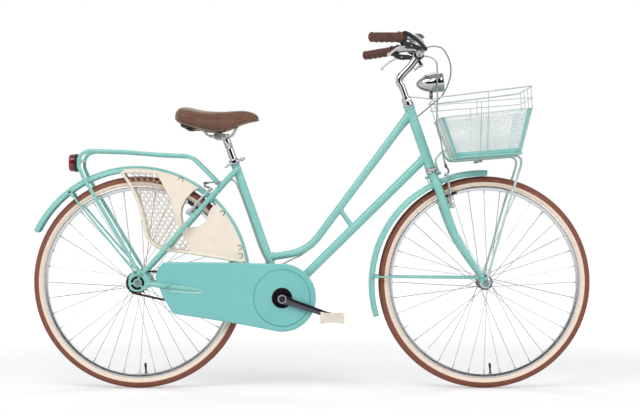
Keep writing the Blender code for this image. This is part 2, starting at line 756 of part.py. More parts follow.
def bell():
    """Dome on a post with a ring round the bar."""
    profile = [
        (0.0, 0.0230), (0.0090, 0.0220), (0.0175, 0.0170), (0.0225, 0.0090), (0.0240, 0.0),
        (0.0225, 0.0), (0.0200, 0.0020), (0.0040, 0.0020), (0.0040, -0.0120), (0.0, -0.0120),
    ]
    dome = turned("bell", profile, BELL_CENTRE, BELL_AXIS, "chrome", steps=10)
    foot = BELL_CENTRE - BELL_AXIS * 0.0110
    outer, inner = (sided(BAR_CURVE[index], -1) for index in BELL_BAR_SPAN)
    seat_point = (outer + inner) / 2
    line = (inner - outer).normalized()
    away = foot - seat_point
    away = (away - line * away.dot(line)).normalized()
    arm = rod("bell_arm", foot, seat_point + away * 0.0138, 0.0036, "chrome", 8)
    ring_profile = [(0.0122, 0.0040), (0.0150, 0.0040), (0.0150, -0.0040), (0.0122, -0.0040)]
    ring = turned("bell_ring", ring_profile, seat_point, line, "chrome", steps=12, closed=True)
    return fuse([dome, arm, ring])


def bell_lever():
    """A thumb piece on a ring that turns about the bell's post."""
    side = BELL_AXIS.cross(Vector((1, 0, 0))).normalized()
    ahead = side.cross(BELL_AXIS)
    thumb = [(0.030, -0.0035), (0.036, -0.0060), (0.036, 0.0060), (0.030, 0.0035)]
    outline = arc((0, 0), 0.0085, 40, 320, 9) + thumb
    hole = circle(0.0044, 10)
    centre = BELL_CENTRE - BELL_AXIS * 0.0050
    return plate("bell_lever", [outline, hole], 0.0030, centre, (-ahead, side), "steel")


# Headlight
LAMP_CENTRE = Vector((0.3950, 0, 1.0080))
LAMP_PIVOT = Vector((0.3950, 0, 0.9700))
LAMP_AXIS = Vector((0.9950, 0, 0.1000)).normalized()


def headlight():
    """Bullet shell, open at the front, and the lens that closes it."""
    shell_profile = [
        (0.0, 0.0360), (0.0285, 0.0360), (0.0285, 0.0400), (0.0320, 0.0410), (0.0325, 0.0360),
        (0.0320, 0.0150), (0.0285, -0.0100), (0.0215, -0.0320), (0.0110, -0.0470), (0.0, -0.0510),
    ]
    shell = turned("headlight_shell", shell_profile, LAMP_CENTRE, LAMP_AXIS, "chrome", steps=12)
    lug_top = LAMP_PIVOT + Vector((0, 0, 0.0160))
    lug = box("headlight_lug", (0.0110, 0.0056, 0.0240), (LAMP_PIVOT + lug_top) / 2, "chrome")
    shell = fuse([shell, lug])
    hole = crossbar("headlight_hole", LAMP_PIVOT, 0.02, 0.0030, "chrome", 8)
    shell = cut(shell, [hole])
    lens_profile = [(0.0, 0.0425), (0.0150, 0.0420), (0.0281, 0.0395), (0.0281, 0.0363), (0.0, 0.0363)]
    lens = turned("headlight_lens", lens_profile, LAMP_CENTRE, LAMP_AXIS, "clear_lens", steps=12)
    return [shell, lens]


def headlight_bracket():
    """A ring under the quill, a strip forward, and two ears with the lamp's pivot pin."""
    finish = "steel"
    ring_profile = [(0.0120, 0.2530), (0.0172, 0.2530), (0.0172, 0.2503), (0.0120, 0.2503)]
    ring = turned("headlight_bracket", ring_profile, HEAD_LOW, STEER_UP, finish, steps=12, closed=True)
    start = steer(0.2521, forward=0.0165)
    foot = Vector((0.3950, 0, 0.9560))
    end = foot + (foot - start).normalized() * 0.0060
    pieces = [ring, strip("headlight_strip", start, end, 0.0160, 0.0025, finish)]
    for side in (-1, 1):
        ear_centre = Vector((LAMP_PIVOT.x, side * 0.0045, LAMP_PIVOT.z - 0.0045))
        pieces.append(box(f"headlight_ear_{side}", (0.0110, 0.0028, 0.0210), ear_centre, finish))
    pieces.append(crossbar("headlight_pin", LAMP_PIVOT, 0.0075, 0.0026, finish))
    return fuse(pieces)


fork_body = fork()
lower_cup = headset_cup("headset_lower_cup", -0.0086, 0.0087, 0.0195)
upper_cup = headset_cup("headset_upper_cup", 0.2228, 0.2335, 0.0190)
locknut = headset_cup("headset_locknut", 0.2338, 0.2498, 0.0170)
front_axle = axle("front_axle", FRONT_AXLE, 0.0474, 0.0500, 0.0583, 0.0700)
rear_axle = axle("rear_axle", REAR_AXLE, 0.0524, 0.0597, 0.0690, 0.0780)
stem_body = stem()
bar = handlebar()
grips = [grip("grip_right", -1), grip("grip_left", 1)]
brackets = [lever_bracket("lever_bracket_right", -1), lever_bracket("lever_bracket_left", 1)]
levers = [brake_lever("brake_lever_right", -1), brake_lever("brake_lever_left", 1)]
bell_body = bell()
bell_thumb = bell_lever()
lamp = headlight()
lamp_bracket = headlight_bracket()


# Mudguards with their stays
GUARD_STAY_RADIUS = 0.0025
REAR_GUARD_ARC = (-4.5, 154.3)
FRONT_GUARD_ARC = (87.5, 197.0)
REAR_STAY_ANGLE = 126.8
FRONT_STAY_ANGLE = 176.0


def mudguard(name, centre, radius, ends, steps):
    """A curved section turned part of a circle and given the sheet's thickness."""
    start, end = (math.radians(angle) for angle in ends)
    profile = [
        (radius - GUARD_DEPTH, GUARD_HALF_WIDTH), (radius - 0.0065, 0.0240), (radius - 0.0015, 0.0125),
        (radius - 0.0015, -0.0125), (radius - 0.0065, -0.0240), (radius - GUARD_DEPTH, -GUARD_HALF_WIDTH),
    ]
    first = Vector((math.cos(start), 0, math.sin(start)))
    guard = turned(
        name, profile, centre, (0, -1, 0), "turquoise_paint", steps,
        angle=math.degrees(end - start), first=first,
    )
    sheet = guard.modifiers.new("sheet", "SOLIDIFY")
    sheet.thickness = GUARD_SHEET
    sheet.offset = -1
    return guard


def guard_stay(name, eyelet, centre, radius, angle):
    """A wire from one eyelet round the outside of a mudguard to the other, with flattened ends."""
    outside = GUARD_STAY_RADIUS + 0.0010
    loop = [
        around(centre, radius - GUARD_DEPTH - 0.0150, angle, GUARD_HALF_WIDTH + outside + 0.0020),
        around(centre, radius - GUARD_DEPTH, angle, GUARD_HALF_WIDTH + outside),
        around(centre, radius - 0.0040, angle, 0.0240 + outside * 0.8),
        around(centre, radius + outside - 0.0010, angle, 0.0130 + outside * 0.5),
    ]
    wire = tube(name, there_and_back([eyelet, *loop]), GUARD_STAY_RADIUS, "turquoise_paint", sides=4)
    eyes = [
        rod(
            f"{name}_eye_{side}", sided(eyelet, side) - Vector((0, side * 0.0026, 0)),
            sided(eyelet, side) + Vector((0, side * 0.0030, 0)), 0.0048, "turquoise_paint", 6,
        )
        for side in (-1, 1)
    ]
    return fuse([wire, *eyes])


def rear_mudguard():
    guard = mudguard("rear_mudguard", REAR_GUARD_CENTRE, REAR_GUARD_RADIUS, REAR_GUARD_ARC, 14)
    foot = CHAIN_STAY_BRIDGE + Vector((0.0060, 0, 0.0074))
    corner = CHAIN_STAY_BRIDGE + Vector((-0.0148, 0, 0.0074))
    shelf = strip("rear_guard_shelf", foot, corner, 0.0200, 0.0020, "turquoise_paint")
    tab = strip(
        "rear_guard_tab", corner, corner + Vector((0.0, 0, 0.0170)), 0.0200, 0.0020, "turquoise_paint",
    )
    return fuse([guard, shelf, tab])


def front_mudguard():
    """The guard with the bracket and bolt that hold it behind the fork crown."""
    guard = mudguard("front_mudguard", FRONT_GUARD_CENTRE, FRONT_GUARD_RADIUS, FRONT_GUARD_ARC, 10)
    top = steer(-0.0125, forward=-0.0195)
    low = around(FRONT_GUARD_CENTRE, FRONT_GUARD_RADIUS - 0.0045, 118.2)
    bracket = strip("front_guard_bracket", low, top, 0.0140, 0.0025, "turquoise_paint")
    bolt = rod(
        "front_guard_bolt", steer(-0.0175, forward=-0.0176), steer(-0.0175, forward=-0.0265),
        0.0045, "turquoise_paint", 6,
    )
    return fuse([guard, bracket, bolt])


# Rear carrier with its light
CARRIER_RADIUS = 0.0060
CARRIER_SIDE = [
    (-0.5595, 0.0751, 0.3744), (-0.5700, 0.0745, 0.3950), (-0.5830, 0.0700, 0.4180),
    (-0.7485, 0.0600, 0.6972), (-0.7629, 0.0600, 0.7313), (-0.7616, 0.0600, 0.7597),
    (-0.7500, 0.0600, 0.7755), (-0.7280, 0.0600, 0.7833), (-0.6223, 0.0600, 0.7801),
    (-0.4944, 0.0600, 0.7699), (-0.4180, 0.0600, 0.7665), (-0.3960, 0.0600, 0.7615),
    (-0.3800, 0.0597, 0.7490), (-0.3110, 0.0560, 0.6800),
]
CARRIER_TAPER = [0.58, 0.58] + [1.0] * 12


def rear_carrier():
    """Two bent side tubes, a hoop's cross bars, the luggage plate, and lugs on the seat stays."""
    paint = "turquoise_paint"
    pieces = []
    for side in (-1, 1):
        path = [sided(p, side) for p in CARRIER_SIDE]
        pieces.append(tube("rear_carrier", path, CARRIER_RADIUS, paint, sides=6, radii=CARRIER_TAPER))
        end = path[-1]
        lug_end = Vector((end.x, side * 0.0499, end.z - 0.0040))
        pieces.append(rod(f"carrier_lug_{side}", end - Vector((0, 0, 0.0040)), lug_end, 0.0050, paint, 6))
    pieces += [
        crossbar("carrier_hoop", (-0.7618, 0, 0.7508), 0.060, 0.0040, paint, 6),
        crossbar("carrier_bar_front", (-0.4890, 0, 0.7695), 0.060, 0.0040, paint, 6),
        crossbar("carrier_bar_rear", (-0.6900, 0, 0.7822), 0.060, 0.0040, paint, 6),
        box("carrier_plate", (0.2300, 0.0300, 0.0020), (-0.5900, 0, 0.7792), paint, turn=3.6),
    ]
    return fuse(pieces)


def rear_light():
    """A wide lamp body on the carrier's hoop, and its lens."""
    outline = circle(0.0298, 16)
    outline = [(x * 1.30, y) for x, y in outline]
    body_centre = Vector((-0.7770, 0, 0.7441))
    body = plate("rear_light_body", [outline], 0.0110, body_centre, ((0, 1, 0), (0, 0, 1)), "black_plastic")
    tab = box("rear_light_tab", (0.0080, 0.0300, 0.0120), (-0.7702, 0, 0.7508), "black_plastic")
    body = fuse([body, tab])
    lens_centre = Vector((-0.7828 - 0.0095, 0, 0.7441))
    lens = plate("rear_light_lens", [outline], 0.0180, lens_centre, ((0, 1, 0), (0, 0, 1)), "red_plastic")
    soften(lens, 0.0050, segments=2)
    return [body, lens]


# Chaincase
CASE_SHEET = 0.0015
CASE_INSIDE = -0.0340
CASE_CIRCLE = (-0.0976, 0.3008)
CASE_RADIUS = 0.1113
CASE_DISC_RADIUS = 0.0916
CASE_HOLE_RADIUS = 0.0330
CASE_RIM = (
    [(-0.4508, 0.2475), (-0.2700, 0.2200)]
    + arc(CASE_CIRCLE, CASE_RADIUS, -98.0, 85.0, 12)
    + [(-0.2600, 0.4160), (-0.4826, 0.4179)]
)
CASE_REAR = [
    (-0.5065, 0.3826), (-0.5130, 0.3695), (-0.4999, 0.3335), (-0.4836, 0.2942), (-0.4557, 0.2746),
]
CASE_CLIP = (-0.4705, -0.0592, 0.3390)


def inset(outline, distance):
    """An open anticlockwise line moved to its left, each corner along its bisector."""
    moved = []
    for index, point in enumerate(outline):
        before = Vector(outline[max(index - 1, 0)])
        after = Vector(outline[min(index + 1, len(outline) - 1)])
        along = (after - before).normalized()
        moved.append((point[0] - along.y * distance, point[1] + along.x * distance))
    return moved


def chaincase():
    """A pan open at its back and rear end, with a raised disc, the hole, and the slot for the stay."""
    paint = "turquoise_paint"
    depth = CASE_INSIDE - CASE_FACE
    middle = Vector((0, (CASE_INSIDE + CASE_FACE) / 2, 0))
    pan = plate("chaincase", [CASE_RIM + CASE_REAR], depth, middle, SIDE_ON, paint)
    centre = Vector((CASE_CIRCLE[0], CASE_FACE, CASE_CIRCLE[1]))
    disc_profile = [
        (0.0, 0.0025), (CASE_DISC_RADIUS - 0.0030, 0.0025), (CASE_DISC_RADIUS, -0.0005), (0.0, -0.0005),
    ]
    disc = turned("case_disc", disc_profile, centre, (0, -1, 0), paint, steps=16)
    stay = chain_stay_path(-1)
    low, high = stay[0], stay[1]
    along = (high - low).normalized()
    clip_centre = low + along * ((CASE_CLIP[0] - low.x) / along.x)
    clip = rod(
        "case_clip", clip_centre - along * 0.0040, clip_centre + along * 0.0040, 0.0122, paint, 8,
    )
    case = fuse([pan, disc, clip])
    hollow_rim = inset(CASE_RIM, CASE_SHEET)
    hollow_rim[0] = (hollow_rim[0][0] - 0.0600, hollow_rim[0][1] + 0.0080)
    hollow_rim[-1] = (hollow_rim[-1][0] - 0.0600, hollow_rim[-1][1])
    hollow_middle = middle + Vector((0, CASE_SHEET, 0))
    hollow = plate("case_hollow", [hollow_rim], depth, hollow_middle, SIDE_ON, paint)
    hole = crossbar("case_hole", centre, 0.02, CASE_HOLE_RADIUS, paint, 14)
    slot = tube("case_slot", stay, CHAIN_STAY_RADIUS + 0.0006, paint, sides=8)
    return cut(case, [hollow, hole, slot])


# Skirt guards
SKIRT_INSIDE = 0.0300
SKIRT_SHEET = 0.0015
SKIRT_RADIUS = 0.3675
SKIRT_EDGE = [
    (-0.6269, 0.7134), (-0.5973, 0.6707), (-0.5743, 0.6214), (-0.5546, 0.5557), (-0.5448, 0.5064),
    (-0.5251, 0.4802), (-0.4889, 0.4605), (-0.4002, 0.4473), (-0.2261, 0.4178),
]
NET_RIGHT = [(-0.5064, 0.7038), (-0.4801, 0.6544), (-0.4669, 0.6215), (-0.4735, 0.4898), (-0.4999, 0.4667)]
BRAKE_NOTCH = [(-0.3181, 0.5492), (-0.4167, 0.5492), (-0.4396, 0.6050), (-0.4002, 0.6608)]
SKIRT_HOOKS = [(-0.4331, 0.6838), (-0.2984, 0.5754), (-0.2393, 0.4736)]
NET_BORDER = 0.0150
NET_PITCH = (0.0260, 0.0210)


def at_height(line, height):
    """Where a line of points that runs downwards crosses a height."""
    for one, two in zip(line, line[1:]):
        if one[1] >= height >= two[1]:
            share = (one[1] - height) / (one[1] - two[1])
            return one[0] + (two[0] - one[0]) * share
    return line[-1][0]


def net_holes():
    """Uneven four-sided cells in staggered rows between the guard's rolled edge and its seam."""
    holes = []
    row = 0
    height = 0.7000
    while height > 0.4800:
        left = at_height(SKIRT_EDGE, height) + NET_BORDER
        right = at_height(NET_RIGHT, height) - 0.0060
        x = left + (0.0 if row % 2 else NET_PITCH[0] / 2)
        while x < right:
            ripple = math.sin(x * 731.0) + math.sin(height * 1270.0)
            middle = (x + ripple * 0.0005, height + math.sin(x * 411.0) * 0.0010)
            reach = math.hypot(middle[0] - REAR_GUARD_CENTRE.x, middle[1] - REAR_GUARD_CENTRE.z)
            if reach < SKIRT_RADIUS - 0.0110:
                cell = circle(0.0114 + ripple * 0.0004, 4, start=45.0 + 14.0 * math.sin(x * 900.0))
                holes.append([(middle[0] + px, middle[1] + py * 0.82) for px, py in cell])
            x += NET_PITCH[0]
        row += 1
        height -= NET_PITCH[1]
    return holes


def skirt_guard(name, side):
    """A sheet with a net at the rear and a notch for the brake, hooked over the mudguard's edge."""
    centre = (REAR_GUARD_CENTRE.x, REAR_GUARD_CENTRE.z)
    outline = arc(centre, SKIRT_RADIUS, 8.5, 44.5, 6) + BRAKE_NOTCH
    outline += arc(centre, SKIRT_RADIUS, 56.5, 97.0, 7) + SKIRT_EDGE
    middle = Vector((0, side * (SKIRT_INSIDE + SKIRT_SHEET / 2), 0))
    sheet = plate(name, [outline, *net_holes()], SKIRT_SHEET, middle, SIDE_ON, "cream_vinyl")
    hooks = [
        rod(
            f"{name}_hook_{x}", (x, side * 0.0280, z), (x, side * 0.0335, z), 0.0040, "cream_vinyl", 6,
        )
        for x, z in SKIRT_HOOKS
    ]
    return fuse([sheet, *hooks])


rear_guard = rear_mudguard()
rear_stay = guard_stay(
    "rear_mudguard_stay", STAY_EYELET + Vector((0, 0.0030, 0)), REAR_GUARD_CENTRE, REAR_GUARD_RADIUS,
    REAR_STAY_ANGLE,
)
front_guard = front_mudguard()
front_stay = guard_stay(
    "front_mudguard_stay", Vector((0.5468, 0.0582, 0.3650)), FRONT_GUARD_CENTRE, FRONT_GUARD_RADIUS,
    FRONT_STAY_ANGLE,
)
carrier = rear_carrier()
tail_light = rear_light()
case = chaincase()
skirts = [skirt_guard("skirt_guard_right", -1), skirt_guard("skirt_guard_left", 1)]


# Chain drive
CHAINRING_RADIUS = 0.0890
SPROCKET_RADIUS = 0.0366
SPROCKET_PLANE = 0.0030


def belt_outline(offset):
    """The outline round both sprockets, offset from the pitch line."""
    line = BRACKET - REAR_AXLE
    lean = math.degrees(math.atan2(line.z, line.x))
    spread = math.degrees(math.asin((CHAINRING_RADIUS - SPROCKET_RADIUS) / line.length))
    front = (BRACKET.x, BRACKET.z)
    rear = (REAR_AXLE.x, REAR_AXLE.z)
    top = lean + 90.0 + spread
    bottom = lean - 90.0 - spread
    return arc(front, CHAINRING_RADIUS + offset, bottom, top, 16) + arc(
        rear, SPROCKET_RADIUS + offset, top, bottom + 360.0, 9
    )


def chain():
    """The chain's closed run as one band, with its links left to the surface."""
    outlines = [belt_outline(CHAIN_HEIGHT / 2), belt_outline(-CHAIN_HEIGHT / 2)]
    return plate("chain", outlines, CHAIN_WIDTH, Vector((0, CHAIN_LINE, 0)), SIDE_ON, "dark_steel")


def toothed(name, teeth, root, tip, bore, centre):
    """A flat sprocket with pointed teeth and a bore."""
    outline = []
    for tooth in range(teeth):
        turn = 360.0 * tooth / teeth
        outline += circle(tip, 1, start=turn) + circle(root, 1, start=turn + 180.0 / teeth)
    middle = Vector((centre.x, CHAIN_LINE, centre.z))
    return plate(name, [outline, circle(bore, 12)], SPROCKET_PLANE, middle, SIDE_ON, "dark_steel")


CRANK_INSIDE = 0.0660
CRANK_THICKNESS = 0.0120
CRANK_LEFT_INSIDE = 0.0560
SPINDLE_RADIUS = 0.0085
PEDAL_START = 0.0060
PEDAL_WIDTH = 0.0960


def crank_spindle():
    right = BRACKET - Vector((0, CRANK_INSIDE + 0.0050, 0))
    left = BRACKET + Vector((0, CRANK_LEFT_INSIDE + 0.0050, 0))
    return rod("crank_spindle", right, left, SPINDLE_RADIUS, "steel", 12)


def crank(name, side, inside, boss_inside, angle):
    """An arm with its boss on the spindle and the pedal's spindle at its end."""
    end = (CRANK_LENGTH * math.cos(angle), CRANK_LENGTH * math.sin(angle))
    turn = math.degrees(angle)
    outline = arc((0, 0), 0.0165, turn + 75, turn + 285, 9) + arc(end, 0.0120, turn - 85, turn + 85, 7)
    middle = BRACKET + Vector((0, side * (inside + CRANK_THICKNESS / 2), 0))
    arm = plate(name, [outline], CRANK_THICKNESS, middle, SIDE_ON, "chrome")
    boss = rod(
        f"{name}_boss", BRACKET + Vector((0, side * boss_inside, 0)),
        BRACKET + Vector((0, side * (inside + 0.0020), 0)), 0.0160, "chrome", 10,
    )
    cap = rod(
        f"{name}_cap", BRACKET + Vector((0, side * (inside + CRANK_THICKNESS - 0.0020), 0)),
        BRACKET + Vector((0, side * (inside + CRANK_THICKNESS + 0.0030), 0)), 0.0110, "chrome", 10,
    )
    pedal_centre = BRACKET + Vector((end[0], 0, end[1]))
    spindle_start = side * (inside + CRANK_THICKNESS - 0.0020)
    spindle_end = side * (inside + CRANK_THICKNESS + PEDAL_START + PEDAL_WIDTH - 0.0040)
    spindle = rod(
        f"{name}_pedal_spindle", pedal_centre + Vector((0, spindle_start, 0)),
        pedal_centre + Vector((0, spindle_end, 0)), 0.0055, "chrome", 8,
    )
    body = fuse([arm, boss, cap, spindle])
    bore = rod(
        f"{name}_bore", BRACKET + Vector((0, side * (boss_inside - 0.01), 0)),
        BRACKET + Vector((0, side * (inside + 0.0055), 0)), 0.0090, "chrome", 12,
    )
    return cut(body, [bore])


def pedal(name, side, inside, angle):
    """A resin block with two windows either side of the bored sleeve."""
    centre = BRACKET + Vector((CRANK_LENGTH * math.cos(angle), 0, CRANK_LENGTH * math.sin(angle)))
    middle = centre + Vector((0, side * (inside + CRANK_THICKNESS + PEDAL_START + PEDAL_WIDTH / 2), 0))
    half = PEDAL_WIDTH / 2
    outline = [
        (-0.0385, -half + 0.010), (-0.0300, -half), (0.0300, -half), (0.0385, -half + 0.010),
        (0.0385, half - 0.010), (0.0300, half), (-0.0300, half), (-0.0385, half - 0.010),
    ]
    windows = [
        [(x - 0.0075, -half + 0.012), (x + 0.0075, -half + 0.012), (x + 0.0075, half - 0.012),
         (x - 0.0075, half - 0.012)]
        for x in (-0.0200, 0.0200)
    ]
    block = as_mesh(
        plate(name, [outline, *windows], 0.0300, middle, ((1, 0, 0), (0, 1, 0)), "pedal_resin")
    )
    bore = crossbar(f"{name}_bore", middle, 0.06, 0.0062, "pedal_resin", 8)
    return cut(block, [bore])


chain_run = chain()
sprocket = toothed("rear_sprocket", SPROCKET_TEETH, 0.0290, 0.0313, 0.0146, REAR_AXLE)
ring = toothed("chainring", CHAINRING_TEETH, 0.0795, 0.0832, 0.0092, BRACKET)
spindle = crank_spindle()
crank_right = crank("crank_right", -1, CRANK_INSIDE, 0.0468, CRANK_ANGLE)
crank_left = crank("crank_left", 1, CRANK_LEFT_INSIDE, 0.0420, CRANK_ANGLE + math.pi)
pedals = [
    pedal("pedal_right", -1, CRANK_INSIDE, CRANK_ANGLE),
    pedal("pedal_left", 1, CRANK_LEFT_INSIDE, CRANK_ANGLE + math.pi),
]


# Saddle on its post
POST_NECK = 0.5285
SLEEVE = (0.5290, 0.5720)
RAIL_RADIUS = 0.0035
RAIL_HEIGHT = 0.8320
RAIL_SIDE = 0.0220
SADDLE_RAIL = [
    (-0.3676, 0.0330, 0.8550), (-0.3600, 0.0320, 0.8525), (-0.3460, 0.0250, 0.8370),
    (-0.3370, RAIL_SIDE, RAIL_HEIGHT), (-0.2710, RAIL_SIDE, RAIL_HEIGHT),
    (-0.2620, 0.0205, 0.8370), (-0.2480, 0.0120, 0.8600), (-0.2440, 0.0, 0.8660),
]
SADDLE_STATIONS = [
    (-0.4530, 0.9080, 0.8900, 0.0600), (-0.4360, 0.9290, 0.8780, 0.0980), (-0.4000, 0.9305, 0.8630, 0.1070),
    (-0.3450, 0.9195, 0.8580, 0.0940), (-0.2900, 0.9178, 0.8570, 0.0560), (-0.2300, 0.9210, 0.8760, 0.0370),
    (-0.1930, 0.9160, 0.8830, 0.0330), (-0.1740, 0.9010, 0.8860, 0.0220),
]


def seat_clamp():
    """A split band round the seat tube's top with its ears and long bolt."""
    profile = [(0.0150, 0.4855), (0.0180, 0.4855), (0.0180, 0.4695), (0.0150, 0.4695)]
    band = turned("seat_clamp", profile, BRACKET, SEAT_UP, "chrome", steps=12, closed=True)
    top = seat(0.4775, -0.0215)
    bolt_rear = top + Vector((-0.0310, 0, -0.0160))
    bolt_front = top + Vector((0.0370, 0, 0.0125))
    bolt = rod("clamp_bolt", bolt_rear, bolt_front, 0.0035, "chrome", 6)
    ear = box("clamp_ear", (0.0180, 0.0090, 0.0130), seat(0.4775, -0.0205), "chrome", turn=-19.6)
    line = (bolt_front - bolt_rear).normalized()
    nut = rod("clamp_nut", bolt_rear - line * 0.0005, bolt_rear + line * 0.0090, 0.0068, "chrome", 6)
    head = rod("clamp_head", bolt_front - line * 0.0170, bolt_front - line * 0.0060, 0.0062, "chrome", 6)
    return fuse([band, bolt, ear, nut, head])


def seatpost():
    profile = [
        (0.0, 0.5660), (0.0105, 0.5660), (0.0110, 0.5650), (0.0110, POST_NECK),
        (SEATPOST_RADIUS, POST_NECK - 0.0020), (SEATPOST_RADIUS, 0.3600), (0.0, 0.3600),
    ]
    return turned("seatpost", profile, BRACKET, SEAT_UP, "chrome", steps=12)


def saddle_clamp():
    """A sleeve on the post's neck and a block that grips both rails."""
    sleeve = rod("saddle_clamp", seat(SLEEVE[0]), seat(SLEEVE[1]), 0.0155, "chrome", 12)
    block = box("clamp_block", (0.0500, 0.0560, 0.0210), (-0.3035, 0, RAIL_HEIGHT), "chrome")
    bolt = crossbar("clamp_cross_bolt", (-0.3140, 0, 0.8265), 0.0350, 0.0065, "chrome", 6)
    body = fuse([sleeve, block, bolt])
    bores = [rod("post_bore", seat(SLEEVE[0] - 0.01), seat(0.5680), 0.0116, "chrome", 12)]
    for side in (-1, 1):
        start = Vector((-0.3500, side * RAIL_SIDE, RAIL_HEIGHT))
        bores.append(rod(f"rail_bore_{side}", start, start + Vector((0.1000, 0, 0)), 0.0043, "chrome", 6))
    return cut(body, bores)


def saddle_cover():
    """Half sections from tail to nose, mirrored and subdivided to a soft form."""

    def build(work):
        rings = []
        for x, top, low, half in SADDLE_STATIONS:
            section = [
                (0.0, top), (0.50 * half, top - 0.0020), (0.92 * half, top - 0.0110),
                (1.03 * half, low + 0.42 * (top - low)), (0.92 * half, low), (0.0, low + 0.0040),
            ]
            rings.append([work.verts.new((x, y, z)) for y, z in section])
        for one, two in zip(rings, rings[1:]):
            for a, b, c, d in zip(one, two, two[1:], one[1:]):
                work.faces.new((a, b, c, d))
        work.faces.new(rings[0])
        work.faces.new(list(reversed(rings[-1])))

    cover = mesh_from("saddle_cover", build, "brown_leather")
    mirror = cover.modifiers.new("both_sides", "MIRROR")
    mirror.use_axis = (False, True, False)
    mirror.use_clip = True
    mirror.merge_threshold = 0.0001
    subdivide = cover.modifiers.new("soft_form", "SUBSURF")
    subdivide.levels = 1
    subdivide.render_levels = 1
    return cover


def saddle_base():
    outline = [
        (-0.4330, 0.8745), (-0.4300, 0.8600), (-0.3990, 0.8545), (-0.3690, 0.8505), (-0.3690, 0.8585),
        (-0.3990, 0.8625),
    ]
    return plate("saddle_base", [outline], 0.1240, Vector((0, 0, 0)), SIDE_ON, "black_plastic")


clamp_ring = seat_clamp()
post = seatpost()
rail_clamp = saddle_clamp()
rails = tube("saddle_rails", there_and_back(SADDLE_RAIL), RAIL_RADIUS, "chrome", sides=6)
base = saddle_base()
cover = saddle_cover()


# Basket and its carrier
WIRE_RADIUS = 0.0016
RIM_WIRE_RADIUS = 0.0022
BASKET_RINGS = {
    "rim": (0.3970, 0.9480, 0.7080, 0.9860, 0.1700),
    "upper": (0.4032, 0.9250, 0.7105, 0.9490, 0.1680),
    "sheet": (0.4145, 0.8850, 0.7127, 0.9170, 0.1650),
    "floor": (0.4650, 0.7590, 0.6800, 0.7740, 0.1300),
}
BASKET_CORNER = 0.0300
PANEL_SHEET = 0.0010
PANEL_INSET = 0.0024
BASKET_CARRIER_RADIUS = 0.0040
BASKET_CARRIER_SIDE = [
    (0.5741, 0.0600, 0.3655), (0.6444, 0.0600, 0.6093), (0.6830, 0.0600, 0.7300), (0.6862, 0.0600, 0.7470),
    (0.6820, 0.0600, 0.7600), (0.6690, 0.0600, 0.7665), (0.4760, 0.0600, 0.7515), (0.4600, 0.0600, 0.7525),
    (0.4470, 0.0600, 0.7640), (0.4377, 0.0560, 0.7840), (0.4377, 0.0, 0.7840),
]


def ring_path(ring, inwards=0.0, lift=0.0):
    """A rounded rectangle that climbs towards the front, as a loop of points."""
    x_rear, z_rear, x_front, z_front, half = ring
    slope = (z_front - z_rear) / (x_front - x_rear)
    corner = BASKET_CORNER
    path = []
    for sign_x, sign_y, start in ((1, 1, 0.0), (-1, 1, 90.0), (-1, -1, 180.0), (1, -1, 270.0)):
        x = (x_front - inwards - corner) if sign_x > 0 else (x_rear + inwards + corner)
        y = sign_y * (half - inwards - corner)
        for px, py in arc((x, y), corner, start, start + 90.0, 3):
            path.append(Vector((px, py, z_rear + slope * (px - x_rear) + lift)))
    return path


def on_ring(name, x_share, y_share):
    """A point on a ring's straight sides, from shares of its length and half width."""
    x_rear, z_rear, x_front, z_front, half = BASKET_RINGS[name]
    return Vector((
        x_rear + (x_front - x_rear) * x_share, half * y_share, z_rear + (z_front - z_rear) * x_share,
    ))


def basket():
    """Four rings and their uprights, welded where they cross."""
    finish = "basket_sheet"
    pieces = []
    for name, ring_size in BASKET_RINGS.items():
        radius = RIM_WIRE_RADIUS if name == "rim" else WIRE_RADIUS
        pieces.append(tube(f"basket_{name}", ring_path(ring_size), radius, finish, sides=4, closed=True))
    pieces[0].name = "basket"
    places = [(0.0, -0.5), (0.0, 0.5), (1.0, -0.4), (1.0, 0.4)]
    places += [(0.52, side) for side in (-1.0, 1.0)]
    for x_share, y_share in places:
        path = [on_ring(name, x_share, y_share) for name in ("rim", "sheet", "floor")]
        pieces.append(tube("upright", path, WIRE_RADIUS, finish, sides=4))
    return fuse(pieces)


def basket_panel():
    """A sheet box inside the wires, lofted from its floor to its rim and open at the top."""
    floor = ring_path(BASKET_RINGS["floor"], inwards=PANEL_INSET, lift=0.0024)
    rim = ring_path(BASKET_RINGS["sheet"], inwards=PANEL_INSET)

    def build(work):
        low = [work.verts.new(p) for p in floor]
        high = [work.verts.new(p) for p in rim]
        for index in range(len(low)):
            after = (index + 1) % len(low)
            work.faces.new((low[index], low[after], high[after], high[index]))
        work.faces.new(list(reversed(low)))

    panel = mesh_from("basket_panel", build, "basket_sheet")
    sheet = panel.modifiers.new("sheet", "SOLIDIFY")
    sheet.thickness = PANEL_SHEET
    sheet.offset = -1
    return panel


def basket_carrier():
    """One bent tube from axle eye to axle eye, with a strut to the front of the fork crown."""
    finish = "basket_sheet"
    pieces = [tube("basket_carrier", there_and_back(BASKET_CARRIER_SIDE), BASKET_CARRIER_RADIUS, finish, 6)]
    for side in (-1, 1):
        outline = arc((0, 0), 0.0105, 110, 430, 8) + [(0.0085, 0.0200), (0.0005, 0.0200)]
        eye = Vector((FRONT_AXLE.x, side * 0.0569, FRONT_AXLE.z))
        pieces.append(plate("eye", [outline, circle(0.0060, 8)], 0.0022, eye, SIDE_ON, finish))
    strut = [
        steer(-0.0220, forward=0.0228), steer(0.0280, forward=0.0228), (0.4290, 0, 0.7805), (0.4394, 0, 0.7851),
    ]
    pieces.append(tube("strut", strut, 0.0030, finish, sides=6))
    bolt_start = steer(-0.0170, 0.0002, 0.0178)
    bolt_end = steer(-0.0168, 0.0002, 0.0275)
    pieces.append(rod("strut_bolt", bolt_start, bolt_end, 0.0050, finish, 6))
    return fuse(pieces)


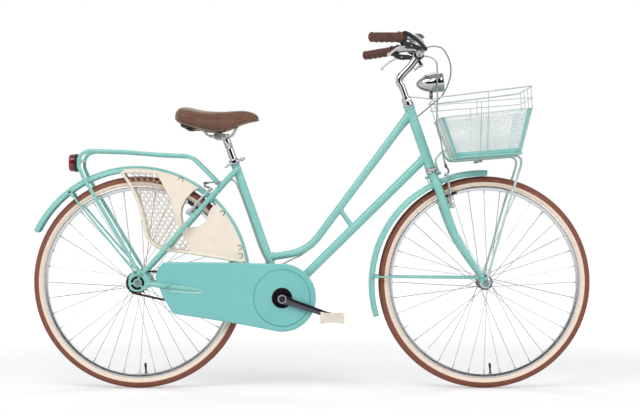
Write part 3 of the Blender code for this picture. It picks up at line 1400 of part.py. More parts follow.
# Brakes
PAD_CENTRE_RADIUS = 0.3110
PAD_SIZE = (0.0480, 0.0085, 0.0100)
PAD_SIDE = 0.0188
ARM_LENGTH = 0.1080
ARM_SIDE = [(0.0085, 0.0040), (0.0078, 0.0300), (0.0050, 0.0700), (0.0035, ARM_LENGTH - 0.0040)]
ARM_INNER_SIDE = [(-0.0075, ARM_LENGTH - 0.0040), (-0.0085, 0.0700), (-0.0085, 0.0300), (-0.0085, 0.0040)]
REAR_CABLE_END = Vector((-0.3443, -0.0482, 0.6771))
REAR_CABLE_AIM = Vector((-0.93, -0.30, -0.15)).normalized()
FRONT_CABLE_END = Vector((0.4382, -0.0470, 0.7370))
FRONT_CABLE_AIM = Vector((0.30, -0.05, -0.95)).normalized()
REAR_NOODLE = [
    REAR_CABLE_END + REAR_CABLE_AIM * 0.0006, REAR_CABLE_END + REAR_CABLE_AIM * 0.0050,
    (-0.3520, -0.0530, 0.6700), (-0.3470, -0.0515, 0.6650), (-0.3380, -0.0430, 0.6630),
    (-0.3370, -0.0260, 0.6630),
]
FRONT_NOODLE = [
    FRONT_CABLE_END + FRONT_CABLE_AIM * 0.0006, FRONT_CABLE_END + FRONT_CABLE_AIM * 0.0060,
    (0.4470, -0.0500, 0.7210), (0.4480, -0.0490, 0.7130), (0.4450, -0.0410, 0.7080),
    (0.4450, -0.0240, 0.7070),
]


def brake_arm(name, side, boss, up, out, start, wheel_axle, noodle=None):
    """A plate arm on its stud, with the pad, the pad's post and on one side the cable's bent guide."""
    outline = arc((0, 0), 0.0090, 205, 335, 5) + ARM_SIDE
    outline += [(-0.0010, ARM_LENGTH + 0.0020)] + ARM_INNER_SIDE
    outline = [(side * y, z) for y, z in outline]
    centre = boss + out * (start + ARM_THICKNESS / 2)
    arm = plate(name, [outline, circle(0.0045, 8)], ARM_THICKNESS, centre, ((0, 1, 0), up), "steel")
    aim = centre + up * 0.0300 - wheel_axle
    angle = math.degrees(math.atan2(aim.z, aim.x))
    pad_centre = around(wheel_axle, PAD_CENTRE_RADIUS, angle, side * PAD_SIDE)
    pad = box(f"{name}_pad", PAD_SIZE, pad_centre, "black_plastic", turn=90.0 - angle)
    post = rod(
        f"{name}_post", pad_centre, Vector((pad_centre.x, side * 0.0560, pad_centre.z)), 0.0032, "steel", 6,
    )
    nut = rod(
        f"{name}_nut", Vector((pad_centre.x, side * 0.0520, pad_centre.z)),
        Vector((pad_centre.x, side * 0.0570, pad_centre.z)), 0.0056, "steel", 6,
    )
    pieces = [arm, pad, post, nut]
    if noodle:
        pieces.append(tube(f"{name}_noodle", smooth_path(noodle, 9), 0.0030, "steel", sides=4))
    return fuse(pieces)


def brake_pair(end, boss, up, out, start, wheel_axle, noodle):
    right = brake_arm(f"{end}_brake_arm_right", -1, sided(boss, -1), up, out, start, wheel_axle, noodle)
    left = brake_arm(f"{end}_brake_arm_left", 1, boss, up, out, start, wheel_axle)
    return [right, left]


# Brake cables
CABLE_RADIUS = 0.0025
SEAT_BACK = Vector((-SEAT_UP.z, 0, SEAT_UP.x))


def barrel_mouth(side, reach):
    """A point ahead of a lever's barrel, along the barrel."""
    return sided(BARREL_END - LEVER_BACK * reach, side)


def beside_upper_tube(index, side, drop):
    """A point next to the upper tube's path, below it and to one side."""
    here = UPPER_TUBE_PATH[index]
    ahead = UPPER_TUBE_PATH[index + 1] - UPPER_TUBE_PATH[index]
    under = Vector((-ahead.z, 0, ahead.x)).normalized()
    return here + under * drop + Vector((0, side, 0))


def behind_seat_tube(along, back, side):
    return seat(along, side) + SEAT_BACK * back


def front_cable():
    route = [
        barrel_mouth(1, 0.0006), barrel_mouth(1, 0.0120), (0.3860, 0.1080, 1.1090), (0.4040, 0.0500, 1.0960),
        (0.4110, -0.0100, 1.0780), (0.4120, -0.0440, 1.0450), (0.4115, -0.0470, 0.9900),
        (0.4118, -0.0460, 0.9350), (0.4100, -0.0450, 0.8900), (0.4130, -0.0450, 0.8500),
        (0.4235, -0.0455, 0.8150), (0.4320, -0.0463, 0.7600),
        FRONT_CABLE_END - FRONT_CABLE_AIM * 0.0080, FRONT_CABLE_END,
    ]
    return tube("front_brake_cable", smooth_path(route, 28), CABLE_RADIUS, "cable_grey", sides=4)


def rear_cable():
    route = [
        barrel_mouth(-1, 0.0006), barrel_mouth(-1, 0.0120), (0.3880, -0.1150, 1.1180),
        (0.4245, -0.0800, 1.1150), (0.4510, -0.0300, 1.0853), (0.4620, 0.0150, 1.0522),
        (0.4576, 0.0460, 1.0150), (0.4377, 0.0500, 0.9740), (0.4120, 0.0460, 0.9500),
        (0.3800, 0.0380, 0.9230), (0.3549, 0.0290, 0.9020), (0.3150, 0.0160, 0.8730),
        UPPER_TUBE_PATH[0] * 0.62 + UPPER_TUBE_PATH[1] * 0.38 + Vector((0.0070, 0.0140, -0.0053)),
        UPPER_TUBE_PATH[0] * 0.25 + UPPER_TUBE_PATH[1] * 0.75 + Vector((0.0070, 0.0140, -0.0053)),
        beside_upper_tube(2, 0.0140, 0.0090), beside_upper_tube(4, 0.0130, 0.0110),
        beside_upper_tube(6, 0.0080, 0.0165), (-0.0525, 0.0030, 0.4310), (-0.0890, -0.0080, 0.4140),
        (-0.1200, -0.0190, 0.4010), behind_seat_tube(0.1350, 0.0080, -0.0185),
        behind_seat_tube(0.1750, 0.0150, -0.0110), behind_seat_tube(0.2800, 0.0150, -0.0110),
        behind_seat_tube(0.3750, 0.0155, -0.0100), (-0.2560, -0.0100, 0.6845), (-0.2778, -0.0140, 0.6860),
        (-0.3043, -0.0300, 0.6800), (-0.3240, -0.0410, 0.6795),
        REAR_CABLE_END - REAR_CABLE_AIM * 0.0080, REAR_CABLE_END,
    ]
    return tube("rear_brake_cable", smooth_path(route, 48), CABLE_RADIUS, "cable_grey", sides=4)


basket_wires = basket()
panel = basket_panel()
basket_support = basket_carrier()
front_arms = brake_pair(
    "front", FRONT_BOSS, FRONT_BRAKE_UP, FRONT_BRAKE_OUT, FRONT_ARM_START, FRONT_AXLE, FRONT_NOODLE,
)
rear_arms = brake_pair(
    "rear", REAR_BOSS, SEAT_STAY_UP, REAR_BRAKE_OUT, REAR_ARM_START, REAR_AXLE, REAR_NOODLE,
)
cables = [front_cable(), rear_cable()]


# Joints, each an empty with its Z along the axis
SIDEWAYS = (0, 1, 0)
steering = pivot(
    "steering_axis", HEAD_LOW, STEER_UP,
    [
        fork_body, locknut, front_axle, stem_body, bar, *grips, *brackets, bell_body, lamp_bracket,
        front_guard, front_stay, basket_wires, panel, basket_support, cables[0],
    ],
)
pivot("front_wheel_axis", FRONT_AXLE, SIDEWAYS, front_wheel, steering)
pivot("rear_wheel_axis", REAR_AXLE, SIDEWAYS, rear_wheel)
pivot("freewheel_axis", REAR_AXLE, SIDEWAYS, [sprocket])
crank_axis = pivot("crank_axis", BRACKET, SIDEWAYS, [spindle, ring, crank_right, crank_left])
crank_reach = Vector((CRANK_LENGTH * math.cos(CRANK_ANGLE), 0, CRANK_LENGTH * math.sin(CRANK_ANGLE)))
pivot("pedal_right_axis", BRACKET + crank_reach, SIDEWAYS, [pedals[0]], crank_axis)
pivot("pedal_left_axis", BRACKET - crank_reach, SIDEWAYS, [pedals[1]], crank_axis)
pivot("seat_height_axis", seat(SEAT_TUBE_LENGTH), SEAT_UP, [post, rail_clamp, rails, base, cover])
for lever, side in zip(levers, (-1, 1)):
    pivot(f"{lever.name}_axis", sided(LEVER_PIVOT, side), sided(LEVER_HINGE, side), [lever], steering)
for arm, side in zip(front_arms, (-1, 1)):
    pivot(f"{arm.name}_axis", sided(FRONT_BOSS, side), FRONT_BRAKE_OUT, [arm], steering)
for arm, side in zip(rear_arms, (-1, 1)):
    pivot(f"{arm.name}_axis", sided(REAR_BOSS, side), REAR_BRAKE_OUT, [arm])
pivot("bell_lever_axis", BELL_CENTRE, BELL_AXIS, [bell_thumb], steering)
pivot("headlight_axis", LAMP_PIVOT, SIDEWAYS, lamp, steering)

for piece in PARTS.objects:
    if piece.type == "MESH":
        shade(piece)
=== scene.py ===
"""Step-through city bicycle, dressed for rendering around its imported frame. Metres, +X ahead, +Z up."""

import math

import bmesh
import bpy
import numpy as np
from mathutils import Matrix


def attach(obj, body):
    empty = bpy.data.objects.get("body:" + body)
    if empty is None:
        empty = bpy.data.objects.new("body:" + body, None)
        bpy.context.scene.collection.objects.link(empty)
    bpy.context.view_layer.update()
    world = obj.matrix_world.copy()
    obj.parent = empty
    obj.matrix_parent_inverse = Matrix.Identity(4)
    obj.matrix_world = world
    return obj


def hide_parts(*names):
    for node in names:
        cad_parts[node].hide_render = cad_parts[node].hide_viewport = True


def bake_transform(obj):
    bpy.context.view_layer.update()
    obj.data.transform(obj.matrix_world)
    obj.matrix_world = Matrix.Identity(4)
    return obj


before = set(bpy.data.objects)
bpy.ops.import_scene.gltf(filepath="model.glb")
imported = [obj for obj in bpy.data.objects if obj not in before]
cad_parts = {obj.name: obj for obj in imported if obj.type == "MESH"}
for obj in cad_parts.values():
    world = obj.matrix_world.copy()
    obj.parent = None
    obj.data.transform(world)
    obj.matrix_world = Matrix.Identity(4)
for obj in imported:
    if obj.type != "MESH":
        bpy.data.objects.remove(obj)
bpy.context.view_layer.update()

# Places taken from the model's own drawing
REAR_AXLE = np.array([-0.57, 0, 0.35])
FRONT_AXLE = np.array([0.57, 0, 0.35])
BRACKET = np.array([-0.0965, 0, 0.298])
HEAD_LOW = np.array([0.3948, 0, 0.7195])
HEAD_ANGLE = math.radians(70.9)
SEAT_ANGLE = math.radians(70.4)
STEER_UP = np.array([-math.cos(HEAD_ANGLE), 0, math.sin(HEAD_ANGLE)])
STEER_FORWARD = np.array([math.sin(HEAD_ANGLE), 0, math.cos(HEAD_ANGLE)])
SEAT_UP = np.array([-math.cos(SEAT_ANGLE), 0, math.sin(SEAT_ANGLE)])
SEAT_FORWARD = np.array([math.sin(SEAT_ANGLE), 0, math.cos(SEAT_ANGLE)])
BAR_CENTRE = np.array([0.3533, 0, 1.1019])
GRIP_FRONT = np.array([0.28, 0.205, 1.1375])
GRIP_END = np.array([0.185, 0.28, 1.129])
ACROSS = np.array([0.0, 1.0, 0.0])
UP = np.array([0.0, 0.0, 1.0])
AHEAD = np.array([1.0, 0.0, 0.0])


# Small sums on points
def point(*xyz):
    return np.array(xyz, float)


def mm(*rows):
    """Rows of millimetres as rows of metres."""
    return [tuple(value / 1000 for value in row) for row in rows]


def unit(v):
    """A vector over its length, also for rows of vectors."""
    return v / np.linalg.norm(v, axis=-1, keepdims=True)


def steer(along, side=0.0, forward=0.0):
    return HEAD_LOW + STEER_UP * along + ACROSS * side + STEER_FORWARD * forward


def seat(along, side=0.0, forward=0.0):
    return BRACKET + SEAT_UP * along + ACROSS * side + SEAT_FORWARD * forward


def sided(p, side):
    """A point of the left half, or its twin on the right for side -1."""
    return np.array(p, float) * (1, side, 1)


def around(centre, radius, degrees, side=0.0):
    """A point on a circle in the bicycle's plane, from +X towards +Z."""
    a = np.radians(degrees)
    a, radius, side = np.broadcast_arrays(a, radius, side)
    return centre + np.stack([radius * np.cos(a), side, radius * np.sin(a)], -1)


def full_turn(count):
    """Angles at even steps of a full turn, the end left out."""
    return np.linspace(0, 2 * math.pi, count, endpoint=False)


def arc(radius, start, end, count):
    """Flat points on a circle about the origin, the angles in degrees."""
    t = np.radians(np.linspace(start, end, count))
    return radius * np.stack([np.cos(t), np.sin(t)], -1)


def run_length(path):
    """Length of a broken line up to each of its points."""
    return np.r_[0, np.cumsum(np.linalg.norm(np.diff(path, axis=0), axis=1))]


def spaced(line, count):
    """Points at even steps of arc length along a broken line."""
    line = np.asarray(line, float)
    along = run_length(line)
    even = np.linspace(0, along[-1], count)
    return np.stack([np.interp(even, along, column) for column in line.T], -1)


def along_run(count, places, values):
    """A value for each of count even steps of a run, read off between the places where it is given."""
    return np.interp(np.linspace(0, 1, count), places, values)


def flowing(points, count):
    """A Catmull-Rom curve: each span is the cubic that leaves its points along the chord of their neighbours."""
    p = np.asarray(points, float)
    p = np.vstack([2 * p[0] - p[1], p, 2 * p[-1] - p[-2]])
    place = np.linspace(0, len(p) - 3, 30 * (len(p) - 3) + 1)
    i = np.minimum(place.astype(int), len(p) - 4)
    t = (place - i)[:, None]
    a, b, c, d = p[i], p[i + 1], p[i + 2], p[i + 3]
    line = (2 * b + (c - a) * t + (2 * a - 5 * b + 4 * c - d) * t**2 + (3 * b - a - 3 * c + d) * t**3) / 2
    return spaced(line, count)


def bent(points, radius, steps=10):
    """Straight runs with an arc at each corner: tube bent on a former of the given radius."""
    points = [np.array(p, float) for p in points]
    path = [points[0]]
    for before, corner, after in zip(points, points[1:], points[2:]):
        back, ahead = unit(before - corner), unit(after - corner)
        half = math.acos(np.clip(back @ ahead, -1, 1)) / 2
        reach = min(
            radius / math.tan(half), 0.48 * np.linalg.norm(before - corner), 0.48 * np.linalg.norm(after - corner)
        )
        centre = corner + unit(back + ahead) * reach / math.cos(half)
        start, end = corner + back * reach - centre, corner + ahead * reach - centre
        sweep = math.acos(np.clip(unit(start) @ unit(end), -1, 1))
        t = np.linspace(0, 1, steps + 1)[:, None]
        path.extend(centre + (start * np.sin((1 - t) * sweep) + end * np.sin(t * sweep)) / math.sin(sweep))
    path.append(points[-1])
    return np.array(path)


def both_ways(points):
    """A right-hand half mirrored into one run through the middle plane, from left to right."""
    points = np.asarray(points, float)
    middle = abs(points[-1][1]) < 1e-6
    mirrored = points * (1, -1, 1)
    return np.vstack([points, mirrored[-2::-1] if middle else mirrored[::-1]])


# Shells: (points, faces) worked out as whole arrays
def grid_faces(rows, columns, loop, wrap):
    index = np.arange(rows * columns).reshape(rows, columns)
    index = np.vstack([index, index[:1]]) if loop else index
    index = np.hstack([index, index[:, :1]]) if wrap else index
    return np.stack([index[:-1, :-1], index[1:, :-1], index[1:, 1:], index[:-1, 1:]], -1).reshape(-1, 4)


def outward(points, faces):
    """Turns a closed shell's faces over if its signed volume, a third of the sum of p . (q x r), is negative."""
    f = np.asarray(faces)
    p = points - points.mean(0)
    volume = np.einsum("ij,ij->", p[f[:, 0]], np.cross(p[f[:, 1]], p[f[:, 2]]))
    volume += np.einsum("ij,ij->", p[f[:, 0]], np.cross(p[f[:, 2]], p[f[:, -1]]))
    return f[:, [1, 0, 3, 2]] if volume < 0 else f


def solid(grid, loop=False):
    """A closed shell from a grid of rings, with a fan over each open end. A fan's corner is used twice."""
    rows, columns = grid.shape[:2]
    points = grid.reshape(-1, 3)
    faces = grid_faces(rows, columns, loop, True)
    if not loop:
        here = np.arange(columns)
        after, top = np.roll(here, -1), (rows - 1) * columns
        for one, two, middle in ((here, after, len(points)), (after + top, here + top, len(points) + 1)):
            hub = np.full(columns, middle)
            faces = np.vstack([faces, np.stack([one, two, hub, hub], -1)])
        points = np.vstack([points, grid[0].mean(0), grid[-1].mean(0)])
    return points, outward(points, faces)


def carried(path, section, size=1.0, loop=False, up=None):
    """A flat section carried along a path: each ring is path + side * x + rise * y, turned with the path.

    Without an up the frame is slid from ring to ring, so that it never twists.
    """
    path = np.asarray(path, float)
    if loop:
        tangent = unit(np.roll(path, -1, 0) - np.roll(path, 1, 0))
    else:
        tangent = unit(np.gradient(path, axis=0))
    if up is None:
        side = np.empty_like(tangent)
        start = np.cross(tangent[0], AHEAD if abs(tangent[0][0]) < 0.8 else UP)
        for ring, line in enumerate(tangent):
            start = unit(start - line * (start @ line))
            side[ring] = start
    else:
        side = unit(np.cross(tangent, up))
    rise = np.cross(side, tangent)
    section = np.asarray(section, float)
    size = np.asarray(size, float)
    size = size[:, None] if size.ndim == 2 else np.broadcast_to(size, len(path))[:, None, None]
    flat = section[None] * size
    return path[:, None] + side[:, None] * flat[..., :1] + rise[:, None] * flat[..., 1:]


def ring(sides):
    """Points of a unit circle, as a section."""
    a = full_turn(sides)
    return np.stack([np.cos(a), np.sin(a)], -1)


def rounded(width, height, corner, steps=4):
    """A rectangle with round corners, as a section."""
    a = np.radians(np.concatenate([np.linspace(q, q + 90, steps + 1) for q in (0, 90, 180, 270)]))
    sx = np.repeat([1, -1, -1, 1], steps + 1) * (width / 2 - corner)
    sy = np.repeat([1, 1, -1, -1], steps + 1) * (height / 2 - corner)
    return np.stack([sx + corner * np.cos(a), sy + corner * np.sin(a)], -1)


def oval(half_wide, half_tall, count=56):
    """A superellipse: x = a sign(cos t) |cos t|^0.8, and y in the same way."""
    t = full_turn(count)
    wave = np.stack([np.cos(t), np.sin(t)], -1)
    return np.sign(wave) * np.abs(wave) ** 0.8 * (half_wide, half_tall)


def collar(inner, outer, low, high, ease_in, ease_up):
    """Profile of a plain collar from low to high, its two outer edges eased."""
    return [
        (inner, low), (outer - ease_in, low), (outer, low + ease_up), (outer, high - ease_up),
        (outer - ease_in, high), (inner, high),
    ]


def tube(path, radius, sides=20, loop=False):
    """A round tube: a circle carried along the path, its radius constant or one value a ring."""
    return solid(carried(path, ring(sides), radius, loop), loop)


def rod(start, end, radius, sides=20, chamfer=0.0):
    """A turned bar between two points, its ends chamfered."""
    start, end = np.array(start, float), np.array(end, float)
    line = unit(end - start)
    c = chamfer
    if not c:
        return solid(carried([start, end], ring(sides), radius))
    path = [start, start + line * c, end - line * c, end]
    return solid(carried(path, ring(sides), np.array([radius - c, radius, radius, radius - c])))


def pin(origin, axis, start, end, radius, sides=20, chamfer=0.0):
    """A turned bar along an axis, from one distance off its origin to another."""
    return rod(origin + axis * start, origin + axis * end, radius, sides, chamfer)


def turned(profile, centre, axis, steps=48, loop=False):
    """A profile of (radius, height) spun about an axis: centre + axis h + (u cos t + v sin t) r."""
    profile = np.asarray(profile, float)
    axis = unit(np.asarray(axis, float))
    u = unit(np.cross(axis, AHEAD if abs(axis[0]) < 0.8 else ACROSS))
    v = np.cross(axis, u)
    t = full_turn(steps)
    circle = u * np.cos(t)[:, None] + v * np.sin(t)[:, None]
    grid = centre + axis * profile[:, 1, None, None] + circle[None] * profile[:, 0, None, None]
    return solid(grid, loop)


def slab(outline, thickness, centre, across, up, round_edge=0.0):
    """A flat outline given a thickness, its edges eased by a ring drawn in on each face."""
    outline = np.asarray(outline, float)
    across, up = np.array(across, float), np.array(up, float)
    out = np.cross(across, up)
    middle = outline.mean(0)
    edge = outline - round_edge * unit(outline - middle)
    half = thickness / 2
    levels = [(edge, -half), (outline, -half + round_edge), (outline, half - round_edge), (edge, half)]
    grid = np.array([centre + o[:, :1] * across + o[:, 1:] * up + out * h for o, h in levels])
    return solid(grid)


def block(size, centre, across=AHEAD, up=UP, corner=0.15):
    """A rounded block: a superellipsoid whose waves are raised to the power corner, 0 for a box and 1 for an egg."""
    v = np.linspace(-math.pi / 2, math.pi / 2, 15)[:, None]
    u = full_turn(32)[None]

    def bend(wave):
        return np.sign(wave) * np.abs(wave) ** corner

    x = bend(np.cos(v)) * bend(np.cos(u)) * size[0] / 2
    y = bend(np.cos(v)) * bend(np.sin(u)) * size[1] / 2
    z = bend(np.sin(v)) * np.ones_like(u) * size[2] / 2
    across, up = unit(np.array(across, float)), unit(np.array(up, float))
    side = np.cross(up, across)
    grid = centre + x[..., None] * across + y[..., None] * side + z[..., None] * up
    return solid(grid)


def hexagon(start, end, radius):
    """A hexagonal nut or bolt head with its corners broken."""
    return rod(start, end, radius, sides=6, chamfer=radius * 0.12)


def copies(shell, places, along, up):
    """One small shell repeated at many places, turned so that its x runs along and its z up."""
    points, faces = shell
    along, up = unit(np.asarray(along, float)), np.asarray(up, float)
    side = unit(np.cross(up, along))
    rise = np.cross(along, side)
    moved = (
        np.asarray(places)[:, None] + along[:, None] * points[None, :, :1]
        + side[:, None] * points[None, :, 1:2] + rise[:, None] * points[None, :, 2:]
    )
    shift = np.arange(len(moved))[:, None, None] * len(points)
    return moved.reshape(-1, 3), (np.asarray(faces)[None] + shift).reshape(-1, 4)


def piece(name, shells, finishes, body, nodes=(), sharp=40.0):
    """One object from shells, each with its finish. It rides on a body, if one is named, and stands for nodes."""
    finishes = finishes if isinstance(finishes, (list, tuple)) else [finishes] * len(shells)
    used = list(dict.fromkeys(finishes))
    start, points, faces, slots = 0, [], [], []
    for (shell_points, shell_faces), finish in zip(shells, finishes):
        points.append(shell_points)
        faces.append(np.asarray(shell_faces) + start)
        slots.append(np.full(len(shell_faces), used.index(finish)))
        start += len(shell_points)
    points, faces, slots = np.vstack(points), np.vstack(faces), np.concatenate(slots)
    fan = faces[:, 2] == faces[:, 3]
    counts = np.where(fan, 3, 4)
    used_corner = np.ones(faces.shape, bool)
    used_corner[:, 3] = ~fan
    corners = faces[used_corner]
    mesh = bpy.data.meshes.new(name)
    mesh.vertices.add(len(points))
    mesh.vertices.foreach_set("co", points.reshape(-1))
    mesh.loops.add(len(corners))
    mesh.loops.foreach_set("vertex_index", corners)
    mesh.polygons.add(len(faces))
    mesh.polygons.foreach_set("loop_start", np.r_[0, np.cumsum(counts)[:-1]])
    mesh.polygons.foreach_set("material_index", slots)
    mesh.polygons.foreach_set("use_smooth", np.ones(len(faces), bool))
    mesh.update(calc_edges=True)
    mesh.validate()
    for finish in used:
        mesh.materials.append(finish)
    work = bmesh.new()
    work.from_mesh(mesh)
    bmesh.ops.remove_doubles(work, verts=work.verts, dist=1e-6)
    work.to_mesh(mesh)
    work.free()
    mesh.set_sharp_from_angle(angle=math.radians(sharp))
    made = bpy.data.objects.new(name, mesh)
    bpy.context.scene.collection.objects.link(made)
    if body:
        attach(made, body)
    if nodes:
        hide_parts(*([nodes] if isinstance(nodes, str) else nodes))
    return made


# Finishes
def linear(code):
    """sRGB hex to linear light: c / 12.92 near black, ((c + 0.055) / 1.055) ^ 2.4 above it."""
    c = np.array([int(code[i : i + 2], 16) for i in (1, 3, 5)]) / 255
    return (*np.where(c <= 0.04045, c / 12.92, ((c + 0.055) / 1.055) ** 2.4), 1.0)


def node(tree, kind, values=None, links=None, **settings):
    """Adds a shader node with its properties, its sockets' values and what is plugged into it."""
    made = tree.nodes.new("ShaderNode" + kind)
    for name, value in settings.items():
        setattr(made, name, value)
    for socket, value in (values or {}).items():
        made.inputs[socket].default_value = value
    for socket, source in (links or {}).items():
        tree.links.new(source, made.inputs[socket])
    return made


def surface(name, colour, roughness, metallic=0.0, sockets=None):
    """A Principled material with its tree, shader and Object coordinates."""
    made = bpy.data.materials.new(name)
    made.use_nodes = True
    tree = made.node_tree
    shader = tree.nodes["Principled BSDF"]
    values = {"Base Color": linear(colour), "Roughness": roughness, "Metallic": metallic, **(sockets or {})}
    for socket, value in values.items():
        shader.inputs[socket].default_value = value
    return made, tree, shader, node(tree, "TexCoord").outputs["Object"]


def relief(tree, shader, height, depth):
    """Plugs a height field into the shader's normal, depth metres from black to white."""
    bump = node(tree, "Bump", {"Distance": depth}, {"Height": height})
    tree.links.new(bump.outputs[0], shader.inputs["Normal"])


def noise(tree, place, size, detail):
    """Fractal noise whose blotches are about size metres across."""
    return node(tree, "TexNoise", {"Scale": 1 / size, "Detail": detail}, {"Vector": place}).outputs[0]


def sums(tree, operation, *terms):
    """A Math node on plain numbers and on other nodes' outputs."""
    values = {k: term for k, term in enumerate(terms) if isinstance(term, float)}
    links = {k: term for k, term in enumerate(terms) if not isinstance(term, float)}
    return node(tree, "Math", values, links, operation=operation).outputs[0]


def ramp(tree, source, low, high, start=0.0, end=1.0):
    """Carries a colour from low to high while the source climbs from start to end."""
    made = node(tree, "ValToRGB", links={"Fac": source})
    for stop, place, colour in zip(made.color_ramp.elements, (start, end), (low, high)):
        stop.position, stop.color = place, colour
    return made.outputs[0]


def shown_directly(tree):
    """1 for rays from the camera, also by way of a mirror or through a lens, and 0 for the light on surfaces."""
    rays = node(tree, "LightPath").outputs
    seen = sums(tree, "MAXIMUM", rays["Is Camera Ray"], rays["Is Glossy Ray"])
    return sums(tree, "MAXIMUM", seen, rays["Is Transmission Ray"])


def waver(tree, shader, source, roughness):
    """Carries the roughness between two values with a texture."""
    spread = node(tree, "MapRange", {"To Min": roughness[0], "To Max": roughness[1]}, {"Value": source})
    tree.links.new(spread.outputs[0], shader.inputs["Roughness"])


def tint(tree, shader, source, low, high):
    """Carries the colour between two hex values with a texture."""
    tree.links.new(ramp(tree, source, linear(low), linear(high), 0.3, 0.7), shader.inputs["Base Color"])


def enamel(name, low, high):
    """Stove enamel: even colour under a clear glossy skin, whose orange peel is a ripple 2.5 mm across."""
    made, tree, shader, place = surface(
        name, high, 0.42, sockets={"Coat Weight": 0.5, "Coat Roughness": 0.22, "Specular IOR Level": 0.4}
    )
    tint(tree, shader, noise(tree, place, 0.12, 2.0), low, high)
    relief(tree, shader, noise(tree, place, 0.0025, 1.0), 0.0000006)
    return made


def plated(name, colour, roughness):
    """Polished metal: a mirror whose roughness drifts a little over some 2 cm, where hands and polish passed."""
    made, tree, shader, place = surface(name, colour, roughness[0], 1.0)
    waver(tree, shader, noise(tree, place, 0.02, 3.0), roughness)
    relief(tree, shader, noise(tree, place, 0.008, 2.0), 0.000003)
    return made


def moulded(name, colour, roughness, grit, depth, dusty=None):
    """Moulded plastic or rubber: a fine spark-eroded grain, grit metres across, breaks the gloss."""
    made, tree, shader, place = surface(name, colour, roughness, sockets={"Specular IOR Level": 0.4})
    relief(tree, shader, noise(tree, place, grit, 3.0), depth)
    if dusty:
        tint(tree, shader, noise(tree, place, 0.03, 3.0), colour, dusty)
    return made


# Frame paint: a soft turquoise that the eye reads as glossy from its thin bright edges
PAINT = enamel("turquoise_stove_enamel", "#83C5BC", "#8BCCC4")
# The pressed case is the same paint over thin sheet, a touch bluer and flatter
CASE_PAINT = enamel("turquoise_pressed_sheet", "#76C2C0", "#7CC7C4")
# Basket wires dipped in a pale grey green
WIRE_PAINT = enamel("pale_dipped_wire", "#AEBFBB", "#BCCAC7")
# Carrier tube under the basket, a faded turquoise
TUBE_PAINT = enamel("pale_carrier_enamel", "#AECBC4", "#BDD6D0")
# Perforated basket sheet, paler than its wires
SHEET_PAINT = enamel("pale_perforated_sheet", "#DCE6E5", "#E7EFEE")
# Bright parts: nickel and chrome, nearly a mirror
CHROME = plated("chrome_plate", "#B0B1B3", (0.05, 0.14))
# Bell dome: nickel gone dull and dark
NICKEL = plated("dull_nickel", "#6E6D69", (0.28, 0.4))
# Lever blades, brake arms: tumbled and clear anodised, a satin silver
SATIN = plated("satin_anodised_alloy", "#CFD0D2", (0.24, 0.36))
# Extruded rim, machine polished, soft grey
RIM = plated("polished_rim_alloy", "#CDCED0", (0.2, 0.32))
# Spokes drawn from stainless wire, darker than chrome
SPOKE = plated("drawn_stainless_wire", "#B4B6BA", (0.22, 0.3))
# Cranks: chrome coloured dark, a painted dark reflection, so they read darker than the rest
CRANK = plated("crank_chrome_painted_dark_reflection", "#55535D", (0.12, 0.26))
# Nuts and axle: zinc passivate, grey and dull
ZINC = plated("zinc_passivate", "#9A9C9E", (0.3, 0.44))
# Chainring: steel coloured near black, painted shade for the dark inside of the case seen through its hole
CHAINRING_SHADE_BLACK = plated("chainring_painted_shade_black", "#26242A", (0.3, 0.44))
# Chain and sprockets: oiled carbon steel, brown black
OILED = plated("oiled_chain_steel", "#4A3B36", (0.28, 0.42))
# Lever bodies, saddle base, light body: black nylon with a fine grain
BLACK = moulded("black_nylon", "#1C1B1B", 0.42, 0.0009, 0.00002)
# Gaiter, valve, pads: soft black rubber, no shine
SOFT_BLACK = moulded("black_rubber", "#201E1E", 0.68, 0.0012, 0.00003)
# Grips: red brown soft vinyl
GRIP = moulded("red_brown_grip_vinyl", "#4E2A1F", 0.46, 0.0011, 0.00004, "#5E372B")
# Cable housing: grey plastic over a wound wire
HOUSING = moulded("grey_cable_housing", "#9B9D9E", 0.38, 0.0015, 0.00001)
# Skirt guard: cream vinyl sheet, soft sheen
VINYL = moulded("cream_vinyl_sheet", "#F0E0CF", 0.5, 0.0016, 0.00002, "#F5E9DB")
# Net cord and rolled edge of the same cream, matt
CORD = moulded("cream_net_cord", "#ECE2CF", 0.72, 0.001, 0.00004, "#F4ECDD")
# Net cord in beige, darker than the sheet so that its cells can be told against white
NET_CORD = moulded("beige_net_cord", "#B9A78F", 0.72, 0.001, 0.00004, "#CFC0AA")
# Line along the lower edge of the chain stay's slot: a painted highlight, drawn as a thin near-white tube
SLOT_HIGHLIGHT = moulded("slot_painted_highlight", "#E2EEEB", 0.4, 0.0016, 0.00001)
# Net hooks: thin and dark brown
HOOK = moulded("dark_brown_hook", "#4A3730", 0.5, 0.001, 0.00002)


